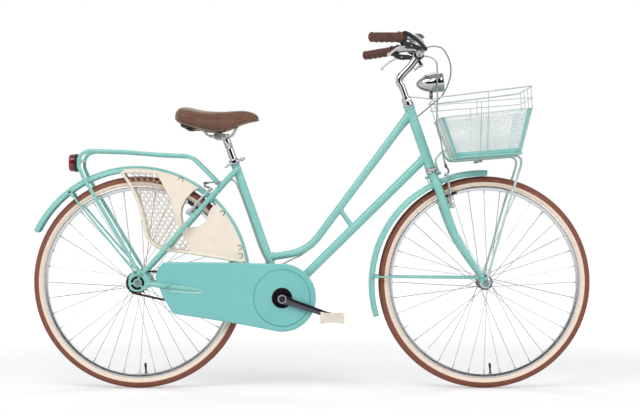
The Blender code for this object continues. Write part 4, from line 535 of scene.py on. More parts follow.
def tread_rubber():
    """Two-tone tyre: brown tread outside radius 0.3305, cream wall inside, with moulded ribs.

    Radius and angle come from Object coordinates about each axle: |p - c| and atan2(z, x).
    """
    made, tree, shader, place = surface(
        "two_tone_tyre_rubber", "#8A5548", 0.78, sockets={"Specular IOR Level": 0.3}
    )
    parts = node(tree, "SeparateXYZ", links={"Vector": place}).outputs
    x = sums(tree, "SUBTRACT", sums(tree, "ABSOLUTE", parts["X"]), float(FRONT_AXLE[0]))
    z = sums(tree, "SUBTRACT", parts["Z"], float(FRONT_AXLE[2]))
    flat = node(tree, "CombineXYZ", links={"X": x, "Y": z})
    radius = node(tree, "VectorMath", links={0: flat.outputs[0]}, operation="LENGTH").outputs["Value"]
    angle = sums(tree, "ARCTAN2", z, x)
    split = node(tree, "MapRange", {"From Min": 0.3302, "From Max": 0.331}, {"Value": radius}).outputs[0]
    grime = noise(tree, place, 0.015, 4.0)
    brown = ramp(tree, grime, linear("#824F40"), linear("#98614F"))
    cream = ramp(tree, grime, linear("#F0DAC6"), linear("#FAE9DA"))
    both = node(tree, "Mix", links={0: split, 6: cream, 7: brown}, data_type="RGBA")
    tree.links.new(both.outputs[2], shader.inputs["Base Color"])
    # Blocks: 180 chevrons round the wheel, 12 mm apart on the tread, and ribs 5 mm apart across it
    bend = sums(tree, "ABSOLUTE", sums(tree, "MULTIPLY", parts["Y"], 900.0))
    wave = sums(tree, "SINE", sums(tree, "MULTIPLY_ADD", angle, 180.0, bend))
    ribs = sums(tree, "COSINE", sums(tree, "MULTIPLY", parts["Y"], 1250.0))
    tall = sums(tree, "MAXIMUM", wave, ribs)
    block = node(tree, "MapRange", {"From Min": -0.2, "From Max": 0.2}, {"Value": tall})
    relief(tree, shader, sums(tree, "MULTIPLY", block.outputs[0], split), 0.0012)
    return made


TYRE = tread_rubber()


def saddle_vinyl():
    """Embossed saddle vinyl: cells about 1.4 mm across in relief, brown that drifts between two tones."""
    made, tree, shader, place = surface(
        "embossed_brown_vinyl", "#7A5140", 0.44, sockets={"Specular IOR Level": 0.45}
    )
    cells = node(tree, "TexVoronoi", {"Scale": 1 / 0.0014, "Randomness": 1.0}, {"Vector": place}, feature="F1")
    cloud = noise(tree, place, 0.05, 3.0)
    tint(tree, shader, cloud, "#62422F", "#76523E")
    relief(tree, shader, cells.outputs["Distance"], 0.00012)
    waver(tree, shader, cloud, (0.38, 0.5))
    return made


LEATHER = saddle_vinyl()


def glassy(name, colour, clear, roughness=0.04):
    """Injection moulded lens: clear acrylic (IOR 1.49), its flutes seen through the colour."""
    made, tree, shader, place = surface(
        name, colour, roughness, sockets={"Transmission Weight": clear, "IOR": 1.49, "Coat Weight": 0.3}
    )
    flutes = node(tree, "TexWave", {"Scale": 1 / 0.024, "Distortion": 0.0}, {"Vector": place}, bands_direction="Y")
    relief(tree, shader, flutes.outputs[0], 0.0004)
    return made


RED_LENS = glassy("red_acrylic_lens", "#8E1018", 0.35)
CLEAR_LENS = glassy("clear_acrylic_lens", "#F4F6F8", 0.75)
AMBER = glassy("amber_pedal_reflector", "#E08A1E", 0.25, 0.08)
RESIN = moulded("cream_pedal_resin", "#DED6C6", 0.4, 0.002, 0.00003, "#EAE4D8")


# Camera, light and floor
def placed(name, data):
    """A new object that shows its data, put into the scene."""
    made = bpy.data.objects.new(name, data)
    bpy.context.scene.collection.objects.link(made)
    return made


def camera():
    """Where the photograph was taken from: level, 4.8 m off the chain side."""
    data = bpy.data.cameras.new("camera")
    data.sensor_width, data.lens = 36.0, 1449 / 640 * 36
    data.shift_x, data.shift_y = 5 / 640, -3 / 640
    made = placed("camera", data)
    made.location = (0.0104, -4.8, 0.605)
    made.rotation_euler = (math.pi / 2, 0, 0)
    bpy.context.scene.camera = made


def studio():
    """White room: a ramp over the sky's height that only dims overhead, one broad lamp and a fill."""
    world = bpy.data.worlds.new("studio")
    bpy.context.scene.world = world
    world.use_nodes = True
    tree = world.node_tree
    tree.nodes.clear()
    way = node(tree, "TexCoord").outputs["Generated"]
    rise = node(tree, "SeparateXYZ", links={"Vector": way}).outputs["Z"]
    sky = ramp(tree, rise, (1, 1, 1, 1), (0.55, 0.55, 0.56, 1), 0.5, 0.72)
    shown = node(tree, "Background", {"Strength": 1.0}, {"Color": sky})
    lit = node(tree, "Background", {"Color": (1, 1, 1, 1), "Strength": 0.54})
    mixed = node(tree, "MixShader", links={0: shown_directly(tree), 1: lit.outputs[0], 2: shown.outputs[0]})
    node(tree, "OutputWorld", links={"Surface": mixed.outputs[0]})
    for name, place, size, power in (
        ("key", (-1.6, -3.2, 3.6), (3.6, 2.6), 108.0),
        ("fill", (2.6, -2.4, 2.2), (2.0, 2.0), 24.0),
        ("back", (0.4, 3.0, 3.2), (3.0, 1.6), 30.0),
    ):
        data = bpy.data.lights.new(name, "AREA")
        data.shape, data.size, data.size_y, data.energy = "RECTANGLE", *size, power
        lamp = placed(name, data)
        lamp.location = place
        lamp.rotation_euler = aim(place)


def aim(place):
    """Turn that points a lamp's -Z at the middle of the bicycle."""
    d = point(*place) - (0, 0, 0.5)
    return (math.acos(d[2] / np.linalg.norm(d)), 0, math.atan2(d[0], -d[1]))


def card(name, corners, finish):
    """One flat face that only dresses the set."""
    mesh = bpy.data.meshes.new(name)
    mesh.from_pydata(corners, [], [(0, 1, 2, 3)])
    mesh.materials.append(finish)
    made = placed(name, mesh)
    return made


def floor():
    """Pale floor: white paint that shows the room's white besides the light it gets, so shadows stay."""
    made, tree, shader, place = surface("white_floor_paint", "#E6E6E6", 0.9, sockets={"Specular IOR Level": 0.0})
    # Away from the object the lamps fade, so the share rises from 0.24 at 1.4 m to 0.62 at 4 m
    away = node(tree, "VectorMath", links={0: place}, operation="LENGTH").outputs["Value"]
    far = node(tree, "MapRange", {"From Min": 1.4, "From Max": 4.0, "To Min": 0.24, "To Max": 0.62}, {"Value": away})
    share = sums(tree, "MULTIPLY", shown_directly(tree), far.outputs[0])
    shader.inputs["Emission Color"].default_value = (1, 1, 1, 1)
    tree.links.new(share, shader.inputs["Emission Strength"])
    card("floor", [(14.0 * x, 14.0 * y, -0.0006) for x, y in ((-1, -1), (1, -1), (1, 1), (-1, 1))], made)


def flag():
    """Black card behind the camera, which only mirrors see: the dark band that makes chrome read as chrome."""
    cloth = surface("black_flag_cloth", "#151515", 0.95)[0]
    made = card("flag", [(x, -6.4, z) for x, z in ((-3.6, 0.02), (3.6, 0.02), (3.6, 7.0), (-3.6, 7.0))], cloth)
    made.visible_camera = made.visible_diffuse = made.visible_shadow = False


camera()
studio()
floor()
flag()


# Wheels
TYRE_HALF = mm(
    (311.8, 0), (311.8, 9.6), (317.2, 10.8), (321.5, 15), (326.5, 18.1), (332, 18.7), (337.5, 17.2),
    (343, 13.8), (347.3, 8.5), (349.4, 4), (350, 0),
)
RIM_HALF = mm(
    (311, 0), (311.2, 9), (316.5, 10.6), (317.4, 11.2), (317.6, 12), (316.8, 12.6), (312, 12.4), (307, 11.6),
    (304.5, 10.8), (303.4, 9), (303, 5), (303, 0),
)
FLANGE_SIDE = 0.034
SPOKES = 36


def mirrored(half):
    """A half profile of (radius, height) and its mirror, as one ring."""
    half = np.array(half, float)
    return np.vstack([half, (half * (1, -1))[-2:0:-1]])


def wheel_round(profile, axle):
    """The profile turned about the axle: (r cos t, h, r sin t)."""
    return turned(profile, axle, ACROSS, 180, loop=True)


def spokes(axle):
    """Three-cross lacing: each flange's spokes leave its circle 60 degrees ahead of or behind their rim hole."""
    wires, nipples, heads = [], [], []
    for hole in range(SPOKES):
        side = 1 if hole % 2 else -1
        leaning = 1 if (hole // 2) % 2 else -1
        rim = 360.0 * hole / SPOKES
        start = around(axle, 0.0165, rim + leaning * 60.0, side * (FLANGE_SIDE + leaning * 0.0022))
        end = around(axle, 0.3022, rim, side * 0.003)
        line = unit(end - start)
        elbow = start + line * 0.004
        far = start - ACROSS * side * leaning * 0.004
        wires.append(tube(flowing([far, start, elbow, end - line * 0.02, end - line * 0.006], 9), 0.00105, 7))
        nipples.append(rod(end - line * 0.0125, end, 0.002, 8, 0.0004))
        through = ACROSS * side * leaning
        heads.append(pin(far, through, 0.0006, -0.0012, 0.002, 8, 0.0004))
    return wires, nipples, heads


def hub(axle, end, body_radius):
    """Hub shell with dished flanges, spun from its half profile."""
    half = np.array([
        (0.0056, end), (0.01, end), (0.0108, end - 0.001), (0.0112, 0.04), (0.015, 0.0372), (0.0188, 0.0362),
        (0.0192, 0.0352), (0.0192, 0.0328), (0.0188, 0.0318), (0.015, 0.0306), (body_radius + 0.001, 0.027),
        (body_radius, 0.023), (body_radius * 0.94, 0.0),
    ])
    profile = np.vstack([half, (half * (1, -1))[-2::-1]])
    return turned(profile, axle, ACROSS, 48, loop=True)


def wheel(end, axle, hub_end, body_radius):
    body = f"{end}_wheel"
    piece(f"{end}_tyre_casing", [wheel_round(mirrored(TYRE_HALF), axle)], TYRE, body, f"{end}_tyre", sharp=50)
    valve_root, valve_tip = around(axle, 0.304, -86.0), around(axle, 0.269, -86.0)
    down = unit(valve_tip - valve_root)
    stem = rod(valve_root, valve_root + down * 0.022, 0.0031, 16, 0.0006)
    cap = rod(valve_root + down * 0.02, valve_tip, 0.004, 16, 0.001)
    ring_nut = rod(valve_root, valve_root + down * 0.004, 0.0062, 16, 0.0008)
    eyelets = []
    for hole in range(SPOKES):
        angle, y = 360.0 * hole / SPOKES, 0.003 if hole % 2 else -0.003
        eyelets.append(rod(around(axle, 0.3032, angle, y), around(axle, 0.3014, angle, y), 0.0034, 12, 0.0005))
    piece(
        f"{end}_rim_hoop", [wheel_round(mirrored(RIM_HALF), axle), ring_nut, stem, cap, *eyelets],
        [RIM, ZINC, SOFT_BLACK, SOFT_BLACK] + [RIM] * SPOKES, body, f"{end}_rim",
    )
    wires, nipples, heads = spokes(axle)
    piece(
        f"{end}_hub_and_spokes", [hub(axle, hub_end, body_radius), *wires, *nipples, *heads],
        [SATIN] + [SPOKE] * (3 * SPOKES), body, f"{end}_hub",
    )


def axle_set(name, centre, locknut, plate, end, body, node_name):
    """Axle rod, locknuts inside the dropouts, washers and domed nuts outside them."""
    shells, finishes = [pin(centre, ACROSS, -end, end, 0.0048, 16, 0.0008)], [ZINC]
    for side in (-1, 1):
        out = ACROSS * side
        for make, start, stop, radius in (
            (hexagon, locknut - 0.003, locknut, 0.0085), (rod, locknut - 0.0048, locknut - 0.0032, 0.008),
            (rod, plate + 0.0002, plate + 0.0016, 0.0088), (hexagon, plate + 0.0016, plate + 0.0078, 0.0082),
        ):
            shells.append(make(centre + out * start, centre + out * stop, radius))
            finishes.append(ZINC)
        dome = [
            (0.006, plate + 0.007), (0.0058, end - 0.004), (0.005, end - 0.0018), (0.003, end - 0.0004), (0.0, end),
        ]
        shells.append(turned(dome, centre, out, 24))
        finishes.append(CHROME)
    piece(name, shells, finishes, body, node_name)


wheel("front", FRONT_AXLE, 0.047, 0.013)
wheel("rear", REAR_AXLE, 0.05, 0.015)
axle_set("front_axle_and_nuts", FRONT_AXLE, 0.05, 0.0583, 0.07, "steering", "front_axle")
axle_set("rear_axle_and_nuts", REAR_AXLE, 0.0597, 0.069, 0.078, "frame", "rear_axle")


# Frame
MAIN_TUBE, UPPER_TUBE, STEERER, BAR_RADIUS = 0.0143, 0.0125, 0.0127, 0.0111
UPPER_CORNER, UPPER_BEND = point(-0.0151, 0, 0.4513), 0.196
UPPER_PATH = bent([steer(0.205), UPPER_CORNER, seat(0.142)], UPPER_BEND, 40)
SEAT_STAY = mm((-240, 10, 731), (-290, 40, 678), (-555, 62.5, 379.6))
CHAIN_STAY = mm((-545, 62.5, 347.6), (-400, 56, 331), (-111.5, 24, 299.7))
SEAT_STAY_UP = point(0.664, 0, 0.7477)
REAR_BRAKE_OUT = point(-0.7477, 0, 0.664)
REAR_BOSS = point(-0.388, 0.0483, 0.5677)
STAY_BRIDGE = point(-0.3178, 0, 0.6464)
CHAIN_STAY_BRIDGE = point(-0.19, 0, 0.308)
REAR_GUARD_CENTRE = REAR_AXLE + (-0.01, 0, 0.0073)
FRONT_GUARD_CENTRE = FRONT_AXLE + (-0.006, 0, -0.006)
REAR_GUARD_RADIUS, FRONT_GUARD_RADIUS = 0.3775, 0.377
GUARD_DEPTH, GUARD_HALF = 0.019, 0.0275
DROPOUT = mm(
    (-30, -4), (-29, 10), (-27, 22), (-12, 38), (8, 42), (26, 30), (40, 12), (41, 0), (40, -12), (20, -24),
    (-4, -28), (-22, -22),
)


def welded(path, radius, foot, head, reach=0.006, swell=0.22, sides=28):
    """A tube whose radius swells to a weld bead at an end: r (1 + s exp(-(d / reach)^2)) over distance d."""
    path = np.asarray(path, float)
    along = run_length(path)
    size = np.broadcast_to(np.asarray(radius, float), along.shape).copy()
    if foot is not None:
        size *= 1 + swell * np.exp(-(((along - foot) / reach) ** 2))
    if head is not None:
        size *= 1 + swell * np.exp(-(((along[-1] - head - along) / reach) ** 2))
    return tube(path, size, sides)


def line(start, end, count=60):
    t = np.linspace(0, 1, count)[:, None]
    return np.array(start) * (1 - t) + np.array(end) * t


def bolt(place, out, radius, height):
    """A button head screw: its dome turned about out, with a round hollow in the middle."""
    dome = [(1, 0), (0.93, 0.55), (0.7, 0.92), (0.48, 1), (0.42, 0.55), (0, 0.55)]
    return turned(np.array(dome) * (radius, height), place, out, 24)


def boss(place, out, start, thick):
    """A brake boss: a flared foot, the stud, and the screw over the arm."""
    foot = turned(
        [(0.0105, -0.004), (0.0082, 0.002), (0.0074, 0.006), (0.0072, start - 0.0006), (0.006, start - 0.0003)],
        place, out, 28,
    )
    stud = rod(place, place + out * (start + thick + 0.001), 0.0038)
    return foot, stud, bolt(place + out * (start + thick + 0.0004), out, 0.0066, 0.0034)


def bridge(middle, half, bead):
    """A thin tube across between two stays, welded at both ends."""
    return welded(line(middle - ACROSS * half, middle + ACROSS * half), 0.006, bead, bead, 0.004, 0.35)


def dropout(centre):
    """Plate with three windows round the axle's boss: an open ring, the boss, and three spokes between them."""
    outline = spaced(flowing(DROPOUT + DROPOUT[:1], 60), 73)[:-1]
    window = unit(outline) * 0.0225
    rows = []
    for flat, y in (
        (window, -0.0025), (outline * 0.98, -0.0025), (outline, -0.0019),
        (outline, 0.0019), (outline * 0.98, 0.0025), (window, 0.0025),
    ):
        rows.append(centre + np.stack([flat[:, 0], np.full(len(flat), y), flat[:, 1]], -1))
    made = [solid(np.array(rows), loop=True)]
    eye = mm((8.5, -2.5), (14, -2.5), (14, 2.5), (8.5, 2.5))
    made.append(turned(eye, centre, ACROSS, 40, loop=True))
    for turn in np.radians([75, 185, 320]):
        way = point(math.cos(turn), 0, math.sin(turn))
        made.append(block((0.013, 0.0048, 0.0062), centre + way * 0.0182, way, np.cross(way, ACROSS)))
    return made


def main_frame():
    paint = []
    ring_ends = mm((16.4, 9.2), (18.2, 9.6), (18.4, 15), (18, 19), (16.4, 20.5))
    high = [(r, 0.2315 - h) for r, h in ring_ends[::-1]]
    head = np.array(ring_ends + high)
    paint.append(turned(head, HEAD_LOW, STEER_UP, 48))
    paint.append(welded(line(seat(0), seat(0.4855)), MAIN_TUBE, None, None))
    paint.append(turned(mm((14.5, 486.2), (15, 485.5), (14.7, 460), (14.3, 456)), BRACKET, SEAT_UP, 48))
    shell = mm((19.5, -33.8), (20.3, -33), (20.3, 33), (19.5, 33.8))
    paint.append(turned(shell, BRACKET, ACROSS, 48))
    paint.append(welded(line(steer(0.049), BRACKET, 160), MAIN_TUBE, 0.017, 0.0205))
    paint.append(welded(spaced(UPPER_PATH, 220), UPPER_TUBE, 0.0175, 0.0165))
    paint.append(welded(line((0.09, 0, 0.5942), (0.139, 0, 0.525)), 0.008, 0.0125, 0.016, 0.004, 0.3))
    paint.append(bridge(STAY_BRIDGE, 0.041, 0.01))
    spacer = REAR_GUARD_CENTRE + unit(STAY_BRIDGE - REAR_GUARD_CENTRE) * (REAR_GUARD_RADIUS + 0.0003)
    paint.append(rod(STAY_BRIDGE, spacer, 0.0042))
    paint.append(bridge(CHAIN_STAY_BRIDGE, 0.034, 0.006))
    bare = []
    for side in (-1, 1):
        stay = spaced(bent([sided(p, side) for p in SEAT_STAY], 0.05, 16), 120)
        taper = along_run(120, [0, 0.06, 0.85, 1.0], [0.0078, 0.008, 0.008, 0.0062])
        paint.append(welded(stay, taper, 0.012, None, 0.006, 0.25))
        low = spaced(bent([sided(p, side) for p in CHAIN_STAY], 0.2, 16), 120)
        taper = along_run(120, [0, 0.12, 1.0], [0.0066, 0.0088, 0.009])
        paint.append(welded(low, taper, None, 0.016, 0.006, 0.22))
        paint += dropout(sided((REAR_AXLE[0], 0.0625, REAR_AXLE[2]), side))
        eyelet = sided((-0.5595, 0.0712, 0.3744), side)
        paint.append(rod(eyelet - ACROSS * side * 0.008, eyelet, 0.006, 20, 0.0006))
        foot, stud, screw = boss(sided(REAR_BOSS, side), REAR_BRAKE_OUT, 0.016, 0.009)
        paint.append(foot)
        bare += [stud, screw]
    rim = np.array(mm((10, 30), (19.2, 30), (19.2, 36.2), (18, 37.2), (10, 37.2)))
    cups = [turned(rim * (1, side), BRACKET, ACROSS, 40) for side in (-1, 1)]
    piece("frame_tubes", paint + bare + cups, [PAINT] * len(paint) + [ZINC] * 6, "frame", "main_frame", sharp=45)


main_frame()


# Fork and headset
FORK_BLADE = [
    steer(-0.0185, 0.005), steer(-0.0225, 0.024), steer(-0.035, 0.0385), steer(-0.055, 0.0445),
    steer(-0.1265, 0.0465), steer(-0.175, 0.048), point(0.474, 0.0492, 0.501),
    point(0.511, 0.0505, 0.44), point(0.547, 0.052, 0.388), point(0.56, 0.0527, 0.369),
]
FORK_TAPER = np.array([0.86, 0.9, 0.97, 1.0, 0.93, 0.86, 0.76, 0.66, 0.55, 0.5]) * 0.0142
FRONT_BRAKE_UP, FRONT_BRAKE_OUT = point(-0.127, 0, 0.9919), point(0.9919, 0, 0.127)
FRONT_BOSS = steer(-0.1265, 0.0465)


def fork():
    paint = [
        rod(steer(-0.025), steer(-0.0092), 0.0172, 40, 0.001),
        turned(mm((12.7, -12), (18.5, -10), (19, -9.3), (12.7, -9)), HEAD_LOW, STEER_UP, 40),
    ]
    bare = [rod(steer(-0.022), steer(0.25), STEERER, 32)]
    place = run_length(FORK_BLADE)
    for side in (-1, 1):
        path = flowing([sided(p, side) for p in FORK_BLADE], 140)
        along = run_length(path)
        radius = np.interp(along / along[-1], place / place[-1], FORK_TAPER)
        paint.append(tube(path, radius, 28))
        outline = [*arc(0.014, -150, 60, 16)]
        outline += mm((-2, 20), (-18, 24), (-29, 20), (-29, 10), (-18, 2))
        tip = point(FRONT_AXLE[0], side * 0.0528, FRONT_AXLE[2])
        paint.append(slab(outline, 0.005, tip, AHEAD, UP, 0.0006))
        foot, stud, screw = boss(sided(FRONT_BOSS, side), FRONT_BRAKE_OUT, 0.018, 0.009)
        paint.append(foot)
        bare += [stud, screw]
    piece("fork_blades", paint + bare, [PAINT] * len(paint) + [ZINC] * 5, "steering", "fork", sharp=45)


def cup(name, profile, node_name):
    piece(name, [turned(profile, HEAD_LOW, STEER_UP, 64, loop=True)], CHROME, "frame", node_name)


fork()
cup(
    "lower_headset_cup",
    mm(
        (13.4, 8.6), (18.6, 8.6), (19.3, 8), (19.5, 1), (18.8, 0), (19, -3), (18.6, -8), (17.8, -8.6),
        (13.4, -8.6),
    ),
    "headset_lower_cup",
)
cup(
    "upper_headset_cup",
    mm((13.4, 222.9), (18, 222.9), (18.9, 224), (19, 229), (18.6, 233.4), (13.4, 233.4)),
    "headset_upper_cup",
)


def locknut():
    """Round collar below, eight-sided nut above, each spun as a ring."""
    lower = turned(
        mm((13.4, 233.9), (16.6, 233.9), (17, 234.5), (17, 239.5), (16, 240), (13.4, 240)),
        HEAD_LOW, STEER_UP, 64, loop=True,
    )
    nut = turned(
        mm((13.4, 240.2), (16.8, 240.2), (17.1, 241), (17.1, 248.8), (16, 249.7), (13.4, 249.7)),
        HEAD_LOW, STEER_UP, 8, loop=True,
    )
    piece("headset_locknuts", [lower, nut], CHROME, "steering", "headset_locknut", sharp=30)


locknut()


# Stem, bar, grips and levers
def stem():
    arm = flowing([steer(0.286), steer(0.32), BAR_CENTRE - (0.024, 0, 0.034), BAR_CENTRE - (0.002, 0, 0.002)], 50)
    swell = along_run(50, [0, 0.3, 0.8, 1], [0.0111, 0.0124, 0.0122, 0.013])
    clamp = collar(0.0125, 0.018, -0.022, 0.022, 0.0008, 0.0015)
    shells = [
        rod(steer(0.17), steer(0.3), BAR_RADIUS, 36),
        tube(arm, swell, 32),
        turned(clamp, BAR_CENTRE, ACROSS, 48, loop=True),
        block((0.013, 0.027, 0.031), BAR_CENTRE + (0.004, 0, -0.026), (0.87, 0, 0.5), (-0.5, 0, 0.87), 0.3),
        hexagon(BAR_CENTRE + (0.008, 0, -0.032), BAR_CENTRE + (0.014, 0, -0.0285), 0.0052),
        rod(BAR_CENTRE + (0.012, 0, -0.03), BAR_CENTRE + (-0.014, 0, -0.05), 0.0038),
        rod(steer(0.253), steer(0.256), 0.014, 32, 0.0006),
        bolt(steer(0.338, 0, -0.0005), STEER_UP, 0.0085, 0.003),
    ]
    piece("quill_stem", shells, CHROME, "steering", "stem")


GRIP_LINE = unit(GRIP_END - GRIP_FRONT)
BAR_HALF = [
    GRIP_END - GRIP_LINE * 0.006, GRIP_FRONT, GRIP_FRONT - GRIP_LINE * 0.035,
    point(0.333, 0.154, 1.1395), point(0.352, 0.118, 1.129), point(0.36, 0.078, 1.113),
    point(0.356, 0.045, 1.1035), BAR_CENTRE + (0, 0.03, 0), BAR_CENTRE,
]


def handlebar():
    half = flowing(BAR_HALF[1:], 120)
    path = both_ways(np.vstack([BAR_HALF[0], half]))
    piece("swept_handlebar", [tube(spaced(path, 260), BAR_RADIUS, 32)], CHROME, "steering", "handlebar")


def grip(name, side, node_name):
    """Soft grip: r(s, t) = barrel + ring ribs + finger waves 22 mm long that only swell its under side."""
    length = np.linalg.norm(GRIP_END - GRIP_FRONT)
    front, along = sided(GRIP_FRONT, side), sided(GRIP_LINE, side)
    s = np.r_[0, 0.0006, np.linspace(0.0022, length - 0.004, 170), length - 0.0022, length - 0.0008, length]
    stations = [0, 0.0006, 0.0022, 0.005, 0.0068]
    stations += [length - 0.01, length - 0.004, length - 0.0022, length - 0.0008, length]
    base = np.interp(s, stations, [0.0168, 0.0178, 0.0181, 0.0181, 0.0152, 0.015, 0.016, 0.0158, 0.0146, 0.011])
    t = full_turn(56)
    up = unit(np.cross(np.cross(along, UP), along))
    out = np.cross(along, up)
    under = np.clip(-np.cos(t), 0, 1) ** 0.8
    inside = np.clip((s - 0.01) / 0.006, 0, 1) * np.clip((length - 0.012 - s) / 0.006, 0, 1)
    wave = 0.5 + 0.5 * np.cos(2 * math.pi * (s - 0.013) / 0.0215)
    ribs = 0.00025 * np.maximum(0, np.cos(2 * math.pi * s / 0.003)) * inside
    radius = base[:, None] + (0.0022 * wave * inside)[:, None] * under[None] + ribs[:, None] * (1 - under[None])
    circle = up * np.cos(t)[:, None] + out * np.sin(t)[:, None]
    grid = front + along * s[:, None, None] + circle[None] * radius[..., None]
    piece(name, [solid(grid)], GRIP, "steering", node_name, sharp=60)


LEVER_CLAMP = GRIP_FRONT - GRIP_LINE * 0.012
LEVER_PIVOT = LEVER_CLAMP - GRIP_LINE * 0.03 - UP * 0.028
LEVER_BACK = unit(GRIP_LINE * (1, 1, 0))
LEVER_HINGE = np.cross(LEVER_BACK, UP)
BARREL_END = LEVER_PIVOT - LEVER_BACK * 0.048 - UP * 0.006


def lever_body(name, side, node_name):
    """Clamp ring, two cheeks either side of the blade, and the threaded barrel with its lock ring."""
    clamp, hinge = sided(LEVER_CLAMP, side), sided(LEVER_PIVOT, side)
    back, across, along = sided(LEVER_BACK, side), sided(LEVER_HINGE, side), sided(GRIP_LINE, side)
    barrel = sided(BARREL_END, side)
    band = collar(0.0116, 0.0158, -0.0068, 0.0068, 0.0008, 0.001)
    shells = [turned(band, clamp, along, 48, loop=True)]
    cheek = mm(
        (-8, 2), (-6, 8), (2, 9.8), (16, 11.8), (24, 15), (33, 15), (36, 10), (33, 2), (18, -5), (8, -8.5),
        (-1, -8.5), (-7, -5),
    )
    outline = flowing(cheek + cheek[:1], 48)[:-1]
    for turn in (-1, 1):
        shells.append(slab(outline, 0.0046, hinge + across * turn * 0.0058, back, UP, 0.001))
    neck = flowing([hinge - back * 0.006, hinge - back * 0.02 - UP * 0.0012, barrel], 24)
    thin = along_run(24, [0, 0.35, 0.5, 1], [0.009, 0.0086, 0.0076, 0.006])
    screw = clamp - UP * 0.015
    shells += [
        block((0.016, 0.0162, 0.016), hinge - back * 0.009 + UP * 0.0006, back, UP, 0.45),
        tube(neck, thin, 24),
        pin(barrel, back, 0.018, 0.013, 0.0066, 24, 0.0008),
        rod(barrel + back * 0.01, barrel, 0.0056, 12, 0.0006),
        pin(hinge, across, -0.0088, 0.0088, 0.0034, 20, 0.0006),
        pin(screw, across, -0.007, 0.007, 0.0036, 20, 0.0005),
    ]
    hood = mm(
        (289, 201, 1152.5), (296, 200, 1153), (313, 196, 1146.2), (340, 180, 1128), (359, 156, 1113),
        (369, 144, 1104.5),
    )
    full = along_run(40, [0, 0.06, 0.3, 0.7, 0.95, 1], [0.003, 0.0056, 0.0056, 0.0056, 0.0058, 0.004]
    )
    shells.append(tube(flowing([sided(p, side) for p in hood], 40), full, 20))
    piece(name, shells, [BLACK] * 6 + [SATIN, ZINC, ZINC, BLACK], "steering", node_name)


def lever_blade(name, side, node_name):
    """Blade: an oval carried along the lever's curve, flat by the hinge and rounding to its ball end."""
    hinge = sided(LEVER_PIVOT, side)
    back, across = sided(LEVER_BACK, side), sided(LEVER_HINGE, side)
    curve = mm((-5, 0), (6, 0), (21, -1), (46, -8.6), (70, -21.2), (86, -32.5))
    path = flowing([hinge + back * reach + UP * z for reach, z in curve], 70)
    t = np.linspace(0, 1, 70)
    tall = np.interp(t, [0, 0.04, 0.15, 0.35, 0.8, 1], [0.003, 0.0054, 0.005, 0.0036, 0.003, 0.0026])
    wide = np.interp(t, [0, 0.15, 0.3, 0.55, 0.85, 1], [0.003, 0.0032, 0.0038, 0.0056, 0.005, 0.0036])
    rings = carried(path, oval(1, 1, 28), np.stack([wide, tall], -1), up=UP)
    ball_centre = hinge + back * 0.088 - UP * 0.0335
    a = np.linspace(-math.pi / 2, math.pi / 2, 14)
    ball = turned(np.stack([0.006 * np.cos(a) + 1e-6, 0.006 * np.sin(a)], -1), ball_centre, across, 28)
    piece(name, [solid(rings), ball], SATIN, name.replace("_blade", ""), node_name)


stem()
handlebar()
for name, side in (("right", -1), ("left", 1)):
    grip(f"grip_sleeve_{name}", side, f"grip_{name}")
    lever_body(f"lever_body_{name}", side, f"lever_bracket_{name}")
    lever_blade(f"brake_lever_{name}_blade", side, f"brake_lever_{name}")


# Bell and headlight
BELL_CENTRE = point(0.342, -0.09, 1.14)
BELL_AXIS = unit(point(-0.35, -0.1, 0.93))


def bell():
    """Dome (r, h) on a quarter ellipse with a rolled lip, on a base plate, post and clamp ring."""
    a = np.linspace(0, math.pi / 2, 22)
    outer = np.stack([0.0262 * np.cos(a), 0.0012 + 0.0218 * np.sin(a)], -1)
    inner = np.stack([0.0252 * np.cos(a[::-1]), 0.0012 + 0.0206 * np.sin(a[::-1])], -1)
    lip = np.array(mm((25.8, 0), (26.8, -0.4), (27.1, 0.6), (26.8, 1.4)))
    dome = turned(np.vstack([inner, lip, outer]) + (1e-6, 0), BELL_CENTRE, BELL_AXIS, 56)
    plate = mm((19.5, 0.6), (20, -0.6), (19, -2), (6, -2.4))
    base = turned(plate, BELL_CENTRE, BELL_AXIS, 48)
    knob = bolt(BELL_CENTRE + BELL_AXIS * 0.0228, BELL_AXIS, 0.0034, 0.0012)
    path = flowing(BAR_HALF[1:], 120) * (1, -1, 1)
    middle = np.argmin(np.linalg.norm(path - (BELL_CENTRE - BELL_AXIS * 0.026), axis=1))
    seat_point, along = path[middle], unit(path[middle + 1] - path[middle - 1])
    foot = BELL_CENTRE - BELL_AXIS * 0.0105
    away = foot - seat_point
    away = unit(away - along * (away @ along))
    band = collar(0.0113, 0.0146, -0.0046, 0.0046, 0.0006, 0.0008)
    shells = [
        dome, knob, rod(foot, seat_point + away * 0.0135, 0.0036, 20),
        pin(BELL_CENTRE, BELL_AXIS, -0.012, -0.0015, 0.004, 20),
        turned(band, seat_point, along, 48, loop=True),
        hexagon(seat_point - away * 0.0135, seat_point - away * 0.018, 0.0034), base,
    ]
    piece("bell_dome", shells, [NICKEL, NICKEL] + [CHROME] * 4 + [ZINC], "steering", "bell")
    side = unit(np.cross(BELL_AXIS, AHEAD))
    ahead = np.cross(side, BELL_AXIS)
    thumb = [*arc(0.0085, 40, 320, 24)]
    thumb += mm((30, -3.5), (36, -6), (37, 0), (36, 6), (30, 3.5))
    lever = slab(thumb, 0.0022, BELL_CENTRE - BELL_AXIS * 0.005, -ahead, side, 0.0004)
    piece("bell_thumb", [lever], BLACK, "bell_lever", "bell_lever")


LAMP_CENTRE, LAMP_PIVOT = point(0.395, 0, 1.008), point(0.395, 0, 0.97)
LAMP_AXIS = unit(point(0.995, 0, 0.1))


def ogive(h):
    """The lamp shell's radius at a height h along its axis."""
    return 0.0318 * (1 - np.clip((0.018 - h) / 0.069, 0, 1) ** 2.1) ** 0.62


